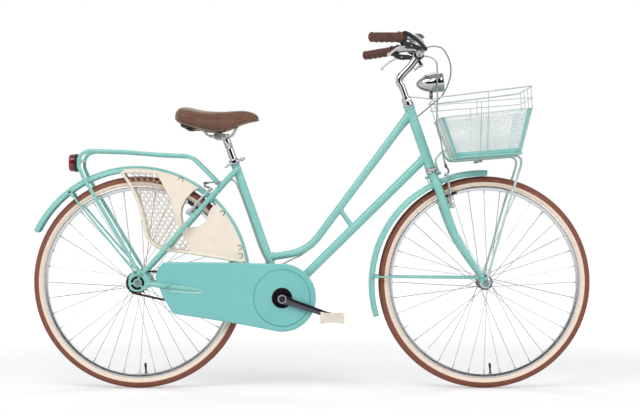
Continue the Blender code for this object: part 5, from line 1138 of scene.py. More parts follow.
def headlight():
    """Bullet shell: an ogive turned about the lamp's axis, a rolled bezel, and a fin along its crown."""
    h = np.linspace(-0.0505, 0.03, 40)
    shell = np.stack([np.maximum(ogive(h), 0.0004), h], -1)
    bezel = mm(
        (31.8, 30.4), (32.2, 31.8), (32.6, 33), (32.9, 36), (32.6, 39.2), (31.4, 40.6), (29.6, 40.2),
        (28.4, 38.4), (28.3, 35),
    )
    body = turned(np.vstack([shell, bezel]), LAMP_CENTRE, LAMP_AXIS, 80)
    lift = np.cross(LAMP_AXIS, ACROSS)
    s = np.linspace(-0.03, 0.03, 30)
    fin = LAMP_CENTRE + LAMP_AXIS * s[:, None] + lift * (ogive(s) + 0.0002)[:, None]
    thin = along_run(30, [0, 0.2, 0.9, 1], [0.0006, 0.0017, 0.0017, 0.0008])
    shells = [
        body, tube(fin, thin, 16),
        block((0.012, 0.0054, 0.025), LAMP_PIVOT + UP * 0.007, corner=0.35),
        pin(LAMP_PIVOT, UP, 0.013, 0.019, 0.008, 28, 0.0012),
    ]
    piece("lamp_shell", shells, CHROME, "headlight", "headlight_shell", sharp=32)
    a = np.linspace(0, 1, 12)
    lens = np.stack([0.0281 * a[::-1] + 1e-5, 0.0368 + 0.005 * (1 - a[::-1] ** 2)], -1)
    glass = turned(np.vstack([[(0.0281, 0.0362)], lens]), LAMP_CENTRE, LAMP_AXIS, 64)
    piece("lamp_glass", [glass], CLEAR_LENS, "headlight", "headlight_lens")


def lamp_bracket():
    """Ring under the locknut, a pressed strip forward, and two ears round the lamp's lug."""
    band = mm((12.8, 253), (17.2, 253), (17.2, 250.4), (12.8, 250.4))
    start, foot = steer(0.2518, forward=0.016), point(0.395, 0, 0.9558)
    way = [start, (start + foot) / 2, foot, foot + unit(foot - start) * 0.006]
    strip = carried(way, rounded(0.016, 0.0026, 0.0012), up=UP)
    shells = [turned(band, HEAD_LOW, STEER_UP, 48, loop=True), solid(strip)]
    for side in (-1, 1):
        shells.append(block((0.012, 0.0026, 0.023), LAMP_PIVOT + (0, side * 0.0043, -0.0045), corner=0.3))
        shells.append(bolt(LAMP_PIVOT + ACROSS * side * 0.0056, ACROSS * side, 0.0046, 0.0024))
    piece("lamp_bracket", shells, [CHROME] * 2 + [ZINC, ZINC] * 2, "steering", "headlight_bracket")


bell()
headlight()
lamp_bracket()


# Mudguards and their stays
GUARD_HALF_SECTION = np.array(mm(
    (-27, -19), (-26.6, -15), (-25.2, -9.8), (-22.2, -5.5), (-16.5, -2.6), (-8.5, -0.8), (0, -0.2),
))


def guard(centre, radius, ends):
    """The rolled section carried round an arc; near each end the section draws in as 1 - (1 - d / 14 mm)^2."""
    outside = np.vstack([GUARD_HALF_SECTION, GUARD_HALF_SECTION[-2::-1] * (-1, 1)])
    outside = flowing(outside, 40)
    along = unit(np.gradient(outside, axis=0))
    inside = outside + np.stack([along[:, 1], -along[:, 0]], -1) * 0.001
    section = np.vstack([outside, inside[::-1]])
    a = np.radians(np.linspace(*ends, 240))
    way = np.stack([np.cos(a), 0 * a, np.sin(a)], -1)
    path = centre + way * radius
    run = np.minimum(a - a[0], a[-1] - a) * radius
    drawn = 0.55 + 0.45 * np.sqrt(1 - np.clip(1 - run / 0.014, 0, 1) ** 2)
    edges = []
    for end in (0, -1):
        beads = path + ACROSS * (outside[end, 0] * drawn)[:, None] + way * (outside[end, 1] * drawn**0.3)[:, None]
        edges.append(tube(beads, 0.0012, 10))
    rings = carried(path, section, np.stack([drawn, drawn**0.3], -1), up=way)
    return [solid(rings), *edges]


def stay(eyelet, centre, radius, angle):
    """Two 6.4 mm rods from the axle's eyes to the guard's edges, each end pressed flat and screwed on."""
    shells = []
    radial = around(point(0, 0, 0), 1.0, angle)
    for side in (-1, 1):
        eye, out = sided(eyelet, side), ACROSS * side
        tip = around(centre, radius - GUARD_DEPTH - 0.008, angle, side * (GUARD_HALF + 0.004))
        run = unit(tip - eye)
        shells += [
            tube(line(eye, tip, 24), 0.0032, 14),
            block((0.027, 0.004, 0.011), tip + radial * 0.0075, run, np.cross(out, run), 0.3),
            bolt(tip + radial * 0.012 + out * 0.0014, out, 0.0036, 0.0022),
            pin(eye, out, -0.0026, 0.0004, 0.005, 24, 0.0005),
            bolt(eye + out * 0.0004, out, 0.0042, 0.0026),
        ]
    return shells


def rear_mudguard():
    shells = guard(REAR_GUARD_CENTRE, REAR_GUARD_RADIUS, (-4.5, 154.3))
    screw = around(REAR_GUARD_CENTRE, REAR_GUARD_RADIUS - 0.0012, 47.8)
    shells += [
        block((0.023, 0.02, 0.0022), CHAIN_STAY_BRIDGE + (-0.0044, 0, 0.0074)),
        block((0.0022, 0.02, 0.018), CHAIN_STAY_BRIDGE + (-0.0148, 0, 0.015)),
        bolt(screw, -unit(STAY_BRIDGE - REAR_GUARD_CENTRE), 0.006, 0.0024),
    ]
    piece("rear_mudguard_blade", shells, [PAINT] * 5 + [ZINC], "frame", "rear_mudguard")
    stays = stay(point(-0.578, 0.0683, 0.386), REAR_GUARD_CENTRE, REAR_GUARD_RADIUS, 126.8)
    piece("rear_stay_wire", stays, [PAINT, PAINT, BLACK, PAINT, ZINC] * 2, "frame", "rear_mudguard_stay")


def front_mudguard():
    shells = guard(FRONT_GUARD_CENTRE, FRONT_GUARD_RADIUS, (87.5, 197.0))
    low, top = around(FRONT_GUARD_CENTRE, FRONT_GUARD_RADIUS - 0.003, 118.2), steer(-0.0125, forward=-0.0195)
    tab = carried([low, (low + top) / 2, top], rounded(0.014, 0.0026, 0.0012), up=STEER_FORWARD)
    screw = rod(steer(-0.0175, forward=-0.0176), steer(-0.0175, forward=-0.0265), 0.0045, 6, 0.0005)
    shells += [solid(tab), screw]
    piece("front_mudguard_blade", shells, [PAINT] * 4 + [ZINC], "steering", "front_mudguard")
    stays = stay(point(0.5468, 0.0582, 0.365), FRONT_GUARD_CENTRE, FRONT_GUARD_RADIUS, 176.0)
    piece("front_stay_wire", stays, [PAINT, PAINT, ZINC, PAINT, ZINC] * 2, "steering", "front_mudguard_stay")


rear_mudguard()
front_mudguard()


# Rear carrier and light
CARRIER_SIDE = mm(
    (-559.5, 75.1, 374.4), (-570, 74.5, 395), (-583, 70, 418), (-748.5, 60, 697.2), (-762.9, 60, 731.3),
    (-761.6, 60, 759.7), (-750, 60, 775.5), (-728, 60, 783.3), (-622.3, 60, 780.1), (-494.4, 60, 769.9),
    (-418, 60, 766.5), (-396, 60, 761.5), (-380, 59.7, 749), (-311, 56, 680),
)


def rear_carrier():
    """One bent tube a side with its lower end pressed flat, three crossbars, and a ribbed plate on top."""
    shells = []
    for side in (-1, 1):
        path = spaced(bent([sided(p, side) for p in CARRIER_SIDE], 0.03, 8), 260)
        radius = along_run(260, [0, 0.022, 0.045, 0.985, 1], [0.0024, 0.0026, 0.006, 0.006, 0.0045]
        )
        end, out = path[-1] * (1, 0, 1) - UP * 0.004, ACROSS * side
        shells += [
            tube(path, np.maximum(radius, 0.0035), 24),
            rod(path[-1] - UP * 0.004, end + out * 0.0499, 0.005, 20, 0.0004),
            bolt(end + out * 0.062, out, 0.0056, 0.003), bolt(path[0] + out * 0.004, out, 0.0056, 0.003),
        ]
    for x, z in ((-0.7618, 0.7508), (-0.489, 0.7695), (-0.69, 0.7822)):
        shells.append(welded(line((x, -0.06, z), (x, 0.06, z)), 0.0042, 0.0065, 0.0065, 0.003, 0.3, 20))
    lean = math.radians(3.6)
    along, rise = point(math.cos(lean), 0, -math.sin(lean)), point(math.sin(lean), 0, math.cos(lean))
    centre = point(-0.59, 0, 0.7792)
    plate = [centre - along * 0.115, centre, centre + along * 0.115]
    shells.append(solid(carried(plate, rounded(0.03, 0.002, 0.0009), up=rise)))
    for y in (-0.008, 0.0, 0.008):
        rib = centre + ACROSS * y + rise * 0.001
        shells.append(tube([rib - along * 0.11, rib + along * 0.11], 0.001, 10))
    finishes = [PAINT, PAINT, ZINC, ZINC] * 2 + [PAINT] * 7
    piece("carrier_tubes", shells, finishes, "frame", "rear_carrier")


def rear_light():
    """Oval black tray on the hoop; the lens bulges as rings that shrink towards its face."""
    centre = point(-0.777, 0, 0.7441)
    tray = slab(oval(0.0387, 0.0298), 0.0106, centre, ACROSS, UP, 0.0012)
    tab = block((0.011, 0.03, 0.013), point(-0.769, 0, 0.7508), corner=0.3)
    corners = mm((-16, -20), (-16, 20), (16, -20), (16, 20))
    brackets = [block((0.012, 0.003, 0.004), point(-0.772, y, 0.7441 + z), corner=0.3) for y, z in corners]
    piece("light_tray", [tray, tab, *brackets], [BLACK, BLACK] + [ZINC] * 4, "frame", "rear_light_body")
    depth = np.array([0.0, 0.002, 0.01, 0.0155, 0.0172, 0.018, 0.0183])
    size = np.array([0.985, 1.0, 0.99, 0.965, 0.9, 0.66, 0.25])
    ringed = oval(0.0385, 0.0296)
    face = ACROSS * ringed[:, :1] + UP * ringed[:, 1:]
    rings = [point(-0.7829, 0, 0.7441) - AHEAD * d + face * s for d, s in zip(depth, size)]
    piece("light_lens", [solid(np.array(rings))], RED_LENS, "frame", "rear_light_lens", sharp=60)


rear_carrier()
rear_light()


# Chaincase
CASE_FACE, CASE_INSIDE = -0.06, -0.034
CASE_CENTRE = np.array([-0.0976, 0.3008])


CASE_STEP = mm(
    (33, -2.2), (33, 1.6), (33.6, 2.5), (60, 2.6), (86.8, 2.6), (88.2, 3), (89.2, 3.6), (90.2, 3.4),
    (90.8, 1.6), (91.4, -1.6), (92.6, -2), (93.8, -1.2), (94.4, 0),
)


def case_outline():
    """The case's side outline, from its straight runs and the round front."""
    front = CASE_CENTRE + arc(0.1113, -98, 85, 60)
    below = mm((-448, 248), (-360, 234.6), (-270, 220.2), (-190, 206))
    rear = mm(
        (-260, 416), (-470, 417.9), (-488, 416), (-501, 402), (-509, 382.6), (-512.8, 369.5), (-499.9, 333.5),
        (-483.6, 294.2), (-474, 282), (-460, 256),
    )
    return spaced(np.vstack([below, front, rear, below[:1]]), 261)[:-1]


def chaincase():
    """Pressed pan: face rows run from the hole's edge to the outline, over the raised disc's step, then round
    the rim and back inside, a closed shell in both directions."""
    outline = case_outline()
    along = unit(np.roll(outline, -1, 0) - np.roll(outline, 1, 0))
    inward = np.stack([-along[:, 1], along[:, 0]], -1)
    way = unit(outline - CASE_CENTRE)
    rows = []

    def lay(flat, y):
        rows.append(np.stack([flat[:, 0], np.broadcast_to(y, len(flat)), flat[:, 1]], -1))

    for radius, lift in CASE_STEP:
        lay(CASE_CENTRE + way * radius, CASE_FACE - lift)
    edge = outline + inward * 0.005
    ringed = CASE_CENTRE + way * 0.0944
    for share in (0.25, 0.5, 0.75, 0.97):
        lay(ringed + (edge - ringed) * share, CASE_FACE)
    for turn in np.radians([0, 22, 45, 67, 90]):
        lay(outline + inward * 0.005 * (1 - math.sin(turn)), CASE_FACE + 0.005 * (1 - math.cos(turn)))
    lay(outline, CASE_INSIDE - 0.0012)
    lay(outline + inward * 0.0004, CASE_INSIDE)
    inner = outline + inward * 0.0014
    lay(inner, CASE_INSIDE)
    lay(inner, CASE_FACE + 0.006)
    lay(edge, CASE_FACE + 0.0034)
    lay(ringed + (edge - ringed) * 0.5, CASE_FACE + 0.0034)
    lay(ringed, CASE_FACE + 0.0034)
    lay(CASE_CENTRE + way * 0.034, CASE_FACE + 0.0032)
    centre = point(CASE_CENTRE[0], 0, CASE_CENTRE[1])
    lip = around(centre, 0.0322, np.linspace(0, 360, 80, endpoint=False), CASE_FACE - 0.002)
    stay_path = bent([sided(p, -1) for p in CHAIN_STAY], 0.2, 16)
    # The stay breaks through the pan's face where it lies within its radius of that plane
    x = np.linspace(-0.495, -0.36, 60)
    y, z = (np.interp(x, stay_path[:, 0], stay_path[:, k]) for k in (1, 2))
    half = np.sqrt(np.clip(0.0094**2 - (CASE_FACE - y) ** 2, 0.0, 1))
    slot = [np.stack([x, np.full_like(x, CASE_FACE - 0.0004), z + way * (half + 0.0012)], -1) for way in (1, -1)]
    top, low = (edge[half > 0.0005] for edge in slot)
    top = np.vstack([top, top[-1] + (0.003, 0, -0.0016)])
    lean = unit(stay_path[1] - stay_path[0])
    clip = stay_path[0] + lean * ((-0.4705 - stay_path[0][0]) / lean[0])
    shells = [
        solid(np.array(rows), loop=True), tube(lip, 0.0019, 12, loop=True), tube(spaced(top, 80), 0.0012, 10),
        # The lower slot line is coloured near white: a painted highlight along the slot's edge
        tube(spaced(low + (0, 0, -0.003), 80), 0.0013, 10),
        turned(collar(0.0096, 0.0126, -0.0058, 0.0058, 0.0004, 0.0012), clip, lean, 40, loop=True),
        bolt(clip + point(0, -0.0118, 0.0), -ACROSS, 0.004, 0.0024),
    ]
    finishes = [CASE_PAINT, SOFT_BLACK, CASE_PAINT, SLOT_HIGHLIGHT, CASE_PAINT, ZINC]
    piece("chaincase_pan", shells, finishes, "frame", "chaincase", sharp=35)


chaincase()


# Skirt guards
SKIRT_RADIUS = 0.3675
SKIRT_EDGE = np.array(mm(
    (-626.9, 713.4), (-597.3, 670.7), (-574.3, 621.4), (-554.6, 555.7), (-544.8, 506.4), (-525.1, 480.2),
    (-488.9, 460.5), (-400.2, 447.3), (-226.1, 417.8),
))
NET_RIGHT = np.array(mm(
    (-514, 718.5), (-500, 693.5), (-477.5, 648.8), (-462.5, 621.6), (-448, 566.8), (-440, 539.6),
    (-406, 480.2), (-399, 453.5),
))
NOTCH_LEFT = np.array(mm(
    (-370, 664), (-391, 651.5), (-414.7, 627), (-430, 596.9), (-433, 572.2), (-428.2, 545.1), (-417, 529.7),
))
NOTCH_RIGHT = np.array(mm((-313, 608), (-331, 594.3), (-339.5, 575.6), (-348.8, 550.3), (-376, 529.7)))
SKIRT_HOOKS = mm((-433.1, 683.8), (-298.4, 575.4), (-243, 464), (-240, 437))


def at_height(points, z):
    """x of a line that runs downwards, at heights z."""
    return np.interp(z, points[::-1, 1], points[::-1, 0])


def arc_at(z):
    """x of the guard's outer arc at heights z."""
    return REAR_GUARD_CENTRE[0] + np.sqrt(np.maximum(SKIRT_RADIUS**2 - (z - REAR_GUARD_CENTRE[2]) ** 2, 0))


def plate_between(z, left, right, y, depth):
    """A thin closed sheet whose rows run from left(z) to right(z)."""
    share = np.linspace(0, 1, 10)
    x = left[:, None] * (1 - share) + right[:, None] * share
    grid = np.stack([x, np.full_like(x, y), np.broadcast_to(z[:, None], x.shape)], -1)
    return sheet_shell(grid, point(0, depth, 0))


def sheet_shell(grid, depth):
    """A grid of points and its copy moved by depth, with a wall round the border."""
    rows, columns = grid.shape[:2]
    count = rows * columns
    points = np.vstack([grid.reshape(-1, 3), (grid + depth).reshape(-1, 3)])
    faces = grid_faces(rows, columns, False, False)
    index = np.arange(count).reshape(rows, columns)
    edge = np.r_[index[0, :-1], index[:-1, -1], index[-1, :0:-1], index[:0:-1, 0]]
    after = np.roll(edge, -1)
    wall = np.stack([edge, after, after + count, edge + count], -1)
    faces = np.vstack([faces, faces[:, ::-1] + count, wall])
    return points, outward(points, faces)


def net(y):
    """Knotted net: cords that zigzag p / 2 either side of upright, each the mirror of its neighbour, so they
    touch over every straight run and leave six-sided cells. x = x0 + k p + (-1)^k (p / 2) clip(1.6 tri(z))."""
    shells = []
    pitch, tall = 0.0098, 0.026
    z = np.arange(0.448, 0.719, 0.0013)
    for k in range(-4, 20):
        wave = 2 * np.abs(2 * ((z / tall) % 1) - 1) - 1
        x = -0.56 + 0.04 * (0.72 - z) / 0.25 + pitch * k + (-1) ** k * pitch / 2 * np.clip(1.6 * wave, -1, 1)
        x = x + 0.0007 * np.sin(z * 610 + k * 2.1)
        inside = (x > at_height(SKIRT_EDGE, z) + 0.0015) & (x < at_height(NET_RIGHT, z) + 0.0015)
        inside &= np.hypot(x - REAR_GUARD_CENTRE[0], z - REAR_GUARD_CENTRE[2]) < SKIRT_RADIUS - 0.001
        runs = np.flatnonzero(np.diff(np.r_[0, inside.astype(int), 0])).reshape(-1, 2)
        for first, last in runs:
            if last - first > 3:
                path = np.stack([x, np.full_like(x, y) + (-1) ** k * 0.0003, z], -1)[first:last]
                shells.append(tube(path, 0.00085, 6))
    return shells


def upright(line_xz, y):
    """Points of the bicycle's plane moved to a side."""
    return np.insert(np.asarray(line_xz, float), 1, y, 1)


def skirt_guard(name, side, node_name):
    """Sheet in five strips round the net and the brake's opening, its cord edges, the net, a hem and four hooks."""
    y, depth = side * 0.03, side * 0.0015
    mid = y + depth / 2
    shells = []
    for bottom, top, count, left, right in (
        (0.418, 0.4535, 16, SKIRT_EDGE, None), (0.4535, 0.5297, 24, NET_RIGHT, None),
        (0.5297, 0.664, 40, NET_RIGHT, NOTCH_LEFT), (0.5297, 0.608, 24, NOTCH_RIGHT, None),
        (0.664, 0.718, 24, NET_RIGHT, None),
    ):
        z = np.linspace(bottom, top, count)
        ends = arc_at(z) if right is None else at_height(right, z)
        shells.append(plate_between(z, at_height(left, z), ends, y, depth))
    arc = SKIRT_RADIUS - 0.001
    notch = bent(upright(np.vstack([NOTCH_LEFT, NOTCH_RIGHT[::-1]]), mid), 0.004, 6)
    for path, radius in (
        (flowing(upright(SKIRT_EDGE, mid), 90), 0.005),
        (around(REAR_GUARD_CENTRE, arc, np.linspace(97, 56.5, 60), mid), 0.0014),
        (around(REAR_GUARD_CENTRE, arc, np.linspace(44.5, 8.5, 60), mid), 0.0014),
        (spaced(notch, 90), 0.0013), (flowing(upright(NET_RIGHT, mid), 60), 0.0018),
    ):
        shells.append(tube(path, radius, 12))
    cords = net(mid)
    sweep = np.linspace(96.5, 79.0, 24)[:, None]
    reach = np.linspace(SKIRT_RADIUS - 0.013, SKIRT_RADIUS - 0.0012, 4)[None]
    hem = around(REAR_GUARD_CENTRE, reach, sweep, y - side * 0.0003)
    shells += [*cords, sheet_shell(hem, point(0, depth, 0))]
    for x, z in SKIRT_HOOKS:
        place = point(x, side * 0.0318, z)
        out = unit((place - REAR_GUARD_CENTRE) * (1, 0, 1))
        along = np.cross(out, ACROSS)
        for turn in (-1, 1):
            hook = [place + along * turn * 0.0085, place + out * 0.01 + along * turn * 0.0055, place + out * 0.0125]
            shells.append(tube(flowing(hook, 12), 0.0011, 8))
        shells.append(rod(point(x, side * 0.0282, z), place, 0.0036, 16))
    finishes = [VINYL] * 5 + [CORD] * 5 + [NET_CORD] * len(cords) + [VINYL] + [HOOK, HOOK, CORD] * len(SKIRT_HOOKS)
    piece(name, shells, finishes, "frame", node_name)


skirt_guard("skirt_panel_right", -1, "skirt_guard_right")
skirt_guard("skirt_panel_left", 1, "skirt_guard_left")


# Chain drive
CHAIN_LINE = -0.045
FRONT_PITCH, REAR_PITCH, CHAIN_LINKS = 0.089, 0.0366, 110
CRANK_LENGTH, CRANK_ANGLE = 0.172, math.radians(-19)


def chain_path(count):
    """Evenly spaced points round both pitch circles and the straights that touch them."""
    run = BRACKET - REAR_AXLE
    lean, reach = math.degrees(math.atan2(run[2], run[0])), np.linalg.norm(run)
    spread = math.degrees(math.asin((FRONT_PITCH - REAR_PITCH) / reach))
    top, bottom = lean + 90 + spread, lean - 90 - spread
    front = around(BRACKET, FRONT_PITCH, np.linspace(bottom, top, 200), CHAIN_LINE)
    rear = around(REAR_AXLE, REAR_PITCH, np.linspace(top, bottom + 360, 120), CHAIN_LINE)
    return spaced(np.vstack([front, rear, front[:1]]), count + 1)[:-1]


def chain():
    """Links of 12.7 mm pitch: outer and inner pairs of waisted plates by turns, and a roller at every pin."""
    pins = chain_path(CHAIN_LINKS)
    after = np.roll(pins, -1, 0)
    pitch = np.linalg.norm(after - pins, axis=1).mean()
    nose = arc(0.004, -70, 70, 5) + (pitch / 2, 0)
    outline = np.vstack([nose, [(0, 0.0029)], nose[::-1] * (-1, 1), [(0, -0.0029)]])
    middle, along = (pins + after) / 2, unit(after - pins)
    out = np.cross(along, ACROSS)
    shells = []
    for first, reach in ((0, 0.0034), (1, 0.0022)):
        for side in (-1, 1):
            plate = slab(outline, 0.001, ACROSS * side * reach, AHEAD, UP)
            shells.append(copies(plate, middle[first::2], along[first::2], out[first::2]))
    for half, radius, sides in ((0.0038, 0.0022, 8), (0.0017, 0.0038, 10)):
        roller = rod((-pitch / 2, -half, 0), (-pitch / 2, half, 0), radius, sides)
        shells.append(copies(roller, middle, along, out))
    piece("roller_chain", shells, OILED, "frame", "chain", sharp=30)


def sprocket(name, teeth, root, tip, bore, centre, body, node_name, finish):
    """Flat sprocket: r(t) swings from root to tip once a tooth; rows run from the bore to the teeth."""
    count = teeth * 8
    t = full_turn(count)
    wave = 0.5 + 0.5 * np.cos(teeth * t)
    rim = root + (tip - root) * wave**1.6
    grid = []
    half = [(bore, 0.0014), (bore + 0.001, 0.0015), (root - 0.001, 0.0015), (rim, 0.0008)]
    for radius, y in half + [(radius, -y) for radius, y in half[::-1]]:
        grid.append(around(centre, radius, np.degrees(t), CHAIN_LINE + y))
    piece(name, [solid(np.array(grid), loop=True)], finish, body, node_name, sharp=30)


def crank(name, side, inside, boss_inside, angle, node_name):
    """Forged arm: a rounded section carried from boss to eye, narrowing as 33 to 24 mm."""
    end = around(BRACKET, CRANK_LENGTH, math.degrees(angle))
    along, out = unit(end - BRACKET), ACROSS * side
    tip = CRANK_LENGTH + 0.0112
    t = np.linspace(-0.0155, tip, 90)
    stations = [-0.0155, -0.012, -0.004, 0.0, 0.01, 0.04, 0.15, 0.162, CRANK_LENGTH, CRANK_LENGTH + 0.007, tip]
    wide = np.interp(
        t, stations, [0.004, 0.011, 0.0155, 0.016, 0.015, 0.0112, 0.0092, 0.01, 0.0118, 0.01, 0.0035]
    )
    deep = np.interp(t, [-0.0155, 0.0, 0.04, 0.15, tip], [0.005, 0.006, 0.0056, 0.0056, 0.005])
    path = BRACKET + out * (inside + 0.006) + along * t[:, None]
    rings = carried(path, rounded(2.0, 2.0, 0.55, 5), np.stack([wide, deep], -1), up=out)
    face, eye = BRACKET + out * (inside + 0.0118), end + out * inside
    cap = mm((11.2, 0), (11.2, 1.6), (10, 2.8), (6, 3.2), (5.2, 1.8), (0.1, 1.8))
    washer = mm((10.4, 0), (10.4, 2.4), (12, 3.8), (13.8, 2.4), (13.8, 0))
    shells = [
        solid(rings), pin(BRACKET, out, boss_inside, inside + 0.002, 0.0158, 40, 0.0008),
        turned(cap, face, out, 40), pin(eye, out, 0.01, 0.018, 0.0074, 6, 0.0006),
        pin(eye, out, 0.01, 0.112, 0.0052, 24, 0.0008),
        pin(eye, out, -0.0004, 0.001, 0.006, 24, 0.0004),
        turned(washer, face, out, 48, loop=True),
    ]
    # The arm and its boss take the darkened chrome: a painted dark reflection
    piece(name, shells, [CRANK, CRANK, BLACK, ZINC, ZINC, ZINC, CHROME], "crank", node_name)


def pedal(name, side, inside, angle, body, node_name):
    """Resin pedal: two cross rails and two long treads round the axle sleeve, ribbed on both faces."""
    middle = around(BRACKET, CRANK_LENGTH, math.degrees(angle), side * (inside + 0.066))
    shells = [pin(middle, ACROSS, -0.0478, 0.0478, 0.0118, 32, 0.0012)]
    finishes = [RESIN]
    for x in (-0.032, 0.032):
        shells.append(block((0.013, 0.094, 0.029), middle + AHEAD * x, corner=0.22))
        shells.append(block((0.002, 0.056, 0.015), middle + AHEAD * x * 1.178, corner=0.12))
        finishes += [RESIN, AMBER] + [RESIN] * 22
        for z in (-0.0148, 0.0148):
            for y in np.linspace(-0.04, 0.04, 11):
                shells.append(block((0.012, 0.0036, 0.003), middle + (x, y, z * 0.94), corner=0.3))
    for y in (-0.042, 0.042):
        shells.append(block((0.07, 0.01, 0.025), middle + ACROSS * y, corner=0.25))
    cap = mm((9, 0), (8.8, 2), (7, 3.4), (0.1, 3.8))
    shells.append(turned(cap, middle + ACROSS * side * 0.044, ACROSS * side, 28))
    finishes += [RESIN, RESIN, BLACK]
    piece(name, shells, finishes, body, node_name)


chain()
sprocket("sprocket_rear", 18, 0.0325, 0.0385, 0.0146, REAR_AXLE, "freewheel", "rear_sprocket", OILED)
# The chainring is coloured near black: painted shade for the dark inside of the case
sprocket("sprocket_front", 44, 0.085, 0.0905, 0.0092, BRACKET, "crank", "chainring", CHAINRING_SHADE_BLACK)
spindle = pin(BRACKET, ACROSS, -0.07, 0.06, 0.0084, 32, 0.001)
piece("bracket_spindle", [spindle], ZINC, "crank", "crank_spindle")
crank("crank_arm_right", -1, 0.066, 0.0468, CRANK_ANGLE, "crank_right")
crank("crank_arm_left", 1, 0.056, 0.042, CRANK_ANGLE + math.pi, "crank_left")
pedal("pedal_block_right", -1, 0.066, CRANK_ANGLE, "pedal_right", "pedal_right")
pedal("pedal_block_left", 1, 0.056, CRANK_ANGLE + math.pi, "pedal_left", "pedal_left")


# Saddle on its post
RAIL_HEIGHT = 0.832
SADDLE_RAIL = [
    (-0.3676, 0.033, 0.855), (-0.36, 0.032, 0.8525), (-0.346, 0.025, 0.837), (-0.337, 0.022, RAIL_HEIGHT),
    (-0.271, 0.022, RAIL_HEIGHT), (-0.262, 0.0205, 0.837), (-0.248, 0.012, 0.86), (-0.244, 0.0, 0.866),
]
SADDLE = np.array(mm(
    (-449, 903, 887, 42), (-444, 915, 879, 76), (-433, 924.5, 872, 98), (-418, 927.5, 865, 107),
    (-400, 926.5, 859, 108), (-376, 921, 853, 104), (-356, 917.5, 848, 96), (-338, 915.8, 844.5, 86),
    (-316, 915, 843, 73), (-296, 915, 845, 60), (-276, 915.8, 850, 51), (-256, 917, 858, 44),
    (-230, 917.5, 870, 37.5), (-208, 914.5, 876.5, 34.5), (-190, 908.5, 880, 30), (-180, 901, 882, 22),
    (-176.5, 896, 884, 13),
))


def saddle_cushion():
    """Crowned pad: top height, underside height and half width run along it as curves, and each section is
    y(t) = w cos t, z(t) = c + h sin t on flattened powers. A seam channel runs round the shoulder, and the sides
    pull in below it."""
    stations = flowing(np.c_[SADDLE[:, 0], SADDLE[:, 1], SADDLE[:, 3]], 110)
    x, top, half = stations.T
    low = np.interp(x, SADDLE[:, 0], SADDLE[:, 2])
    t = full_turn(72)
    c, s = np.cos(t), np.sin(t)
    height = (top - low)[:, None]
    wide = np.sign(c) * np.abs(c) ** 0.72
    tall = np.where(s > 0, np.abs(s) ** 0.95, -np.abs(s) ** 0.55)
    y = half[:, None] * wide * (1 - 0.07 * np.clip(-s, 0, 1))
    z = low[:, None] + height * 0.4 + np.where(s > 0, height * 0.6, height * 0.4) * tall
    y = y * (1 - 0.07 * np.clip(-s, 0, 1) * np.exp(-(((x[:, None] + 0.36) / 0.011) ** 2)))
    sag = 0.0035 * np.exp(-((y / 0.022) ** 2)) * np.exp(-(((x[:, None] + 0.335) / 0.075) ** 2))
    z = z - sag * (s > 0)
    channel = np.exp(-((np.degrees(t) - 22) / 3.5) ** 2) + np.exp(-((np.degrees(t) - 158) / 3.5) ** 2)
    y = y * (1 - 0.02 * channel)
    z = z - 0.001 * channel
    grid = np.stack([np.broadcast_to(x[:, None], y.shape), y, z], -1)
    made = piece("saddle_cushion", [solid(grid)], LEATHER, "seat", "saddle_cover", sharp=70)
    seams = [tube(grid[2:-2, column] + UP * 0.0002, 0.0009, 8) for column in (4, 32)]
    welt = spaced(np.vstack([grid[:, 66], grid[::-1, 42]]), 160)
    piece("saddle_piping", [*seams, tube(welt, 0.0018, 10, loop=True)], LEATHER, "seat")


def saddle_underside():
    """Black tray with two ribbed rubber bumpers over the rails' rear ends."""
    shells = [
        block((0.14, 0.124, 0.01), (-0.362, 0, 0.864), (1, 0, -0.02), corner=0.5),
        block((0.064, 0.122, 0.018), (-0.401, 0, 0.864), (1, 0, -0.18), corner=0.4),
    ]
    rib = np.array(mm((15, 11), (16.2, 9.6), (15, 8.2), (13.6, 7.2)))
    ribs = [rib - (0, k * 0.0046) for k in range(5)]
    bellows = np.vstack([(0.0001, 0.012), *ribs, (0.012, -0.0125), (0.0001, -0.0125)])
    for side in (-1, 1):
        shells.append(turned(bellows, point(-0.398, side * 0.04, 0.864), UP, 36))
    piece("saddle_tray", shells, [BLACK, BLACK, SOFT_BLACK, SOFT_BLACK], "seat", "saddle_base")


def saddle_fittings():
    """Rails bent from one wire, the post with its neck, and the clip with its sleeve, discs, jaws and nuts."""
    rail = spaced(both_ways(bent(SADDLE_RAIL, 0.012, 8)), 160)
    piece("saddle_rail_wire", [tube(rail, 0.0035, 16)], CHROME, "seat", "saddle_rails")
    post = mm(
        (0.1, 360), (12.4, 360), (12.7, 360.6), (12.7, 522.5), (12.4, 525.5), (11.2, 528.2), (11, 530),
        (11, 565), (10, 566), (0.1, 566),
    )
    piece("seat_pillar", [turned(post, BRACKET, SEAT_UP, 48)], CHROME, "seat", "seatpost", sharp=50)
    hub = point(-0.3035, 0, RAIL_HEIGHT)
    shells = [turned(collar(0.0114, 0.0135, 0.529, 0.572, 0.0005, 0.0008), BRACKET, SEAT_UP, 48, loop=True)]
    for side in (-1, 1):
        out, nut = ACROSS * side, hub + (-0.0105, 0, -0.0055)
        for lift, radius in ((0.0, 0.0125), (0.0062, 0.0108), (0.0088, 0.0108)):
            shells.append(pin(hub, out, 0.015 + lift, 0.021 + lift, radius, 28, 0.0008))
        shells.append(block((0.044, 0.009, 0.018), hub + out * 0.0222, corner=0.3))
        shells.append(hexagon(nut + out * 0.028, nut + out * 0.035, 0.007))
    shells.append(pin(hub, ACROSS, -0.016, 0.016, 0.0115, 28))
    piece("saddle_clip", shells, [CHROME] + [SATIN] * (len(shells) - 1), "seat", "saddle_clamp")


